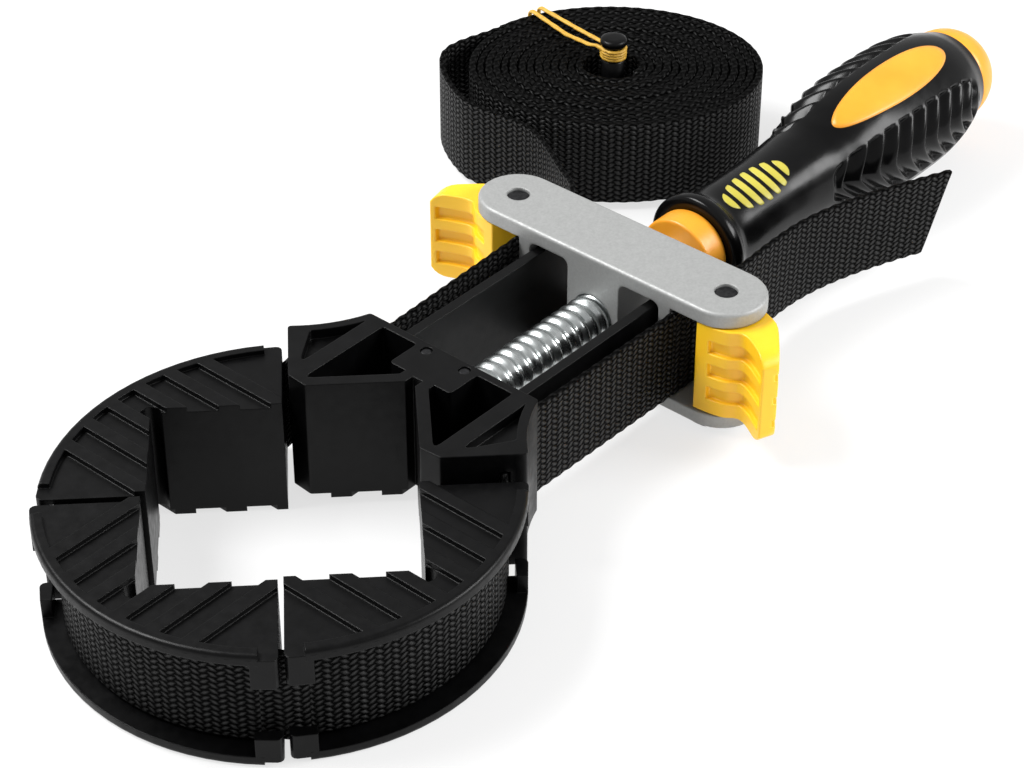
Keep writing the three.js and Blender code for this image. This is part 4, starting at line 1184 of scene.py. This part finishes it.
def elastic_points():
    """The loop: a strand out, round the peg's foot, the other strand back, and the wraps of the neck."""
    x, y = peg_centre()
    angle = math.radians(ELASTIC_ANGLE)
    out = (math.cos(angle), math.sin(angle))
    reach = coil_reach((x, y), out) + BAND_THICKNESS / 2 + ELASTIC_RADIUS + ELASTIC_SLACK
    low = FLOOR_Z + ELASTIC_LIFT
    lower, upper = PEG_NECK[0] + ELASTIC_LIFT, PEG_NECK[1] - ELASTIC_LIFT
    points = elastic_strand(reach, upper, ELASTIC_SLACK)
    for degrees in range(120, 241, 30):
        turn = math.radians(degrees)
        points.append((ELASTIC_FOOT * math.cos(turn), ELASTIC_FOOT * math.sin(turn), low))
    points += [(s, -w, z) for s, w, z in reversed(elastic_strand(reach, lower, 0.0))]
    count = round(12 * (ELASTIC_WRAPS + 0.5))
    for i in range(1, count):
        turn = math.radians(270 - 30 * i)
        height = lower + (upper - lower) * i / count
        points.append((ELASTIC_NECK * math.cos(turn), ELASTIC_NECK * math.sin(turn), height))
    return [Vector((x + out[0] * s - out[1] * w, y + out[1] * s + out[0] * w, z)) for s, w, z in points]


def closed_samples(path, step):
    """Points along a closed path, about a step apart."""
    samples = []
    for a, b in zip(path, path[1:] + path[:1]):
        count = max(1, round((b - a).length / step))
        samples += [a.lerp(b, k / count) for k in range(count)]
    return samples


def make_elastic(material):
    """A cord that is high where it wraps the peg and lies flatter on the coil."""
    samples = closed_samples(elastic_points(), ELASTIC_STEP)
    centre = peg_centre()
    around = 10
    verts = []
    side = None
    for i, point in enumerate(samples):
        ahead = (samples[(i + 1) % len(samples)] - samples[i - 1]).normalized()
        side = side - ahead * side.dot(ahead) if side else ahead.cross(Vector((0, 0, 1)))
        side.normalize()
        up = side.cross(ahead)
        flat = smooth_step(*ELASTIC_SPREAD, math.hypot(point.x - centre[0], point.y - centre[1]))
        wide = ELASTIC_RADIUS * (1 + 0.5 * flat)
        high = ELASTIC_RADIUS * (1.2 - 0.35 * flat)
        ripple = 1 + ELASTIC_RIPPLE[0] * math.sin(i * ELASTIC_RIPPLE[1])
        for k in range(around):
            turn = 2 * math.pi * k / around
            off = side * math.cos(turn) * wide + up * math.sin(turn) * high
            verts.append(tuple(point + off * ripple))
    faces = tube_faces(len(samples), around, loop=True)
    return piece("rubber_loop", verts, faces, material, "crosshead", "coil_elastic")


# Stage

def floor_material():
    """Plain pale paper that keeps shadows; rays from the camera, metal and glass see it near white."""
    n = Nodes("floor", (0.93, 0.93, 0.93), 0.8)
    paper = n.add("ShaderNodeEmission")
    rays = n.add("ShaderNodeLightPath").outputs
    seen = n.math("MAXIMUM", rays["Is Camera Ray"], rays["Is Glossy Ray"])
    seen = n.math("MAXIMUM", seen, rays["Is Transmission Ray"])
    blend = n.add("ShaderNodeMixShader")
    n.link(n.math("MULTIPLY", seen, FLOOR_WHITE), blend.inputs[0])
    n.link(n.shader.outputs[0], blend.inputs[1])
    n.link(paper.outputs[0], blend.inputs[2])
    n.link(blend.outputs[0], n.tree.nodes["Material Output"].inputs["Surface"])
    return n.material


def make_stage():
    floor = bpy.data.meshes.new("floor")
    size = FLOOR_HALF * MM
    z = (FLOOR_Z - FLOOR_DROP) * MM
    corners = [(-size, -size, z), (size, -size, z), (size, size, z), (-size, size, z)]
    floor.from_pydata(corners, [], [(0, 1, 2, 3)])
    floor.materials.append(floor_material())
    ground = bpy.data.objects.new("floor", floor)
    bpy.context.scene.collection.objects.link(ground)


def add_lamp(name, place, size, power):
    data = bpy.data.lights.new(name, "AREA")
    data.shape = "RECTANGLE"
    data.size, data.size_y = (side * MM for side in size)
    data.energy = power
    made = bpy.data.objects.new(name, data)
    made.location = Vector(place) * MM
    made.rotation_euler = (Vector(LAMP_TARGET) - Vector(place)).to_track_quat("-Z", "Y").to_euler()
    bpy.context.scene.collection.objects.link(made)


def make_lights():
    world = bpy.data.worlds.new("studio")
    bpy.context.scene.world = world
    world.use_nodes = True
    background = world.node_tree.nodes["Background"]
    background.inputs["Color"].default_value = (1, 1, 1, 1)
    background.inputs["Strength"].default_value = WORLD_STRENGTH
    for name, settings in LAMPS.items():
        add_lamp(name, *settings)


def make_camera():
    data = bpy.data.cameras.new("camera")
    data.lens = CAMERA_LENS
    data.sensor_width = SENSOR_WIDTH
    data.clip_start = CAMERA_NEAR * MM
    data.clip_end = CAMERA_FAR * MM
    made = bpy.data.objects.new("camera", data)
    made.location = Vector(CAMERA_PLACE) * MM
    made.rotation_euler = Euler([math.radians(angle) for angle in CAMERA_TURN], "XYZ")
    bpy.context.scene.collection.objects.link(made)
    bpy.context.scene.camera = made


def make_solids(black_nylon):
    """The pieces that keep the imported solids' shapes, with their edges rounded."""
    yellow = yellow_plastic("lever_yellow", (0.92, 0.52, 0.012), (0.97, 0.59, 0.02))
    rounded_copy("head_frame", "head", black_nylon, NYLON_ROUND)
    for jaw in JAW_SHIFTS:
        beads = bead_edges(jaw)
        rounded_copy("corner_jaw_" + jaw, "jaw_" + jaw, black_nylon, NYLON_ROUND, 2, beads, BEAD_ROUND)
    rounded_copy("crosshead", "crosshead", cast_aluminium(), CAST_ROUND, 3, plate_edges(), PLATE_ROUND)
    for name, side in SIDES:
        rounded_copy("lever_" + name, "lever_" + name, yellow, LEVER_ROUND, 3)


make_camera()
make_stage()
make_lights()
bpy.context.scene.view_settings.view_transform = "Standard"

black_nylon = nylon()
make_solids(black_nylon)
make_band()
make_handle()
make_screw(zinc())
make_pins(dark_steel())
make_peg(black_nylon)
make_elastic(elastic_rubber())
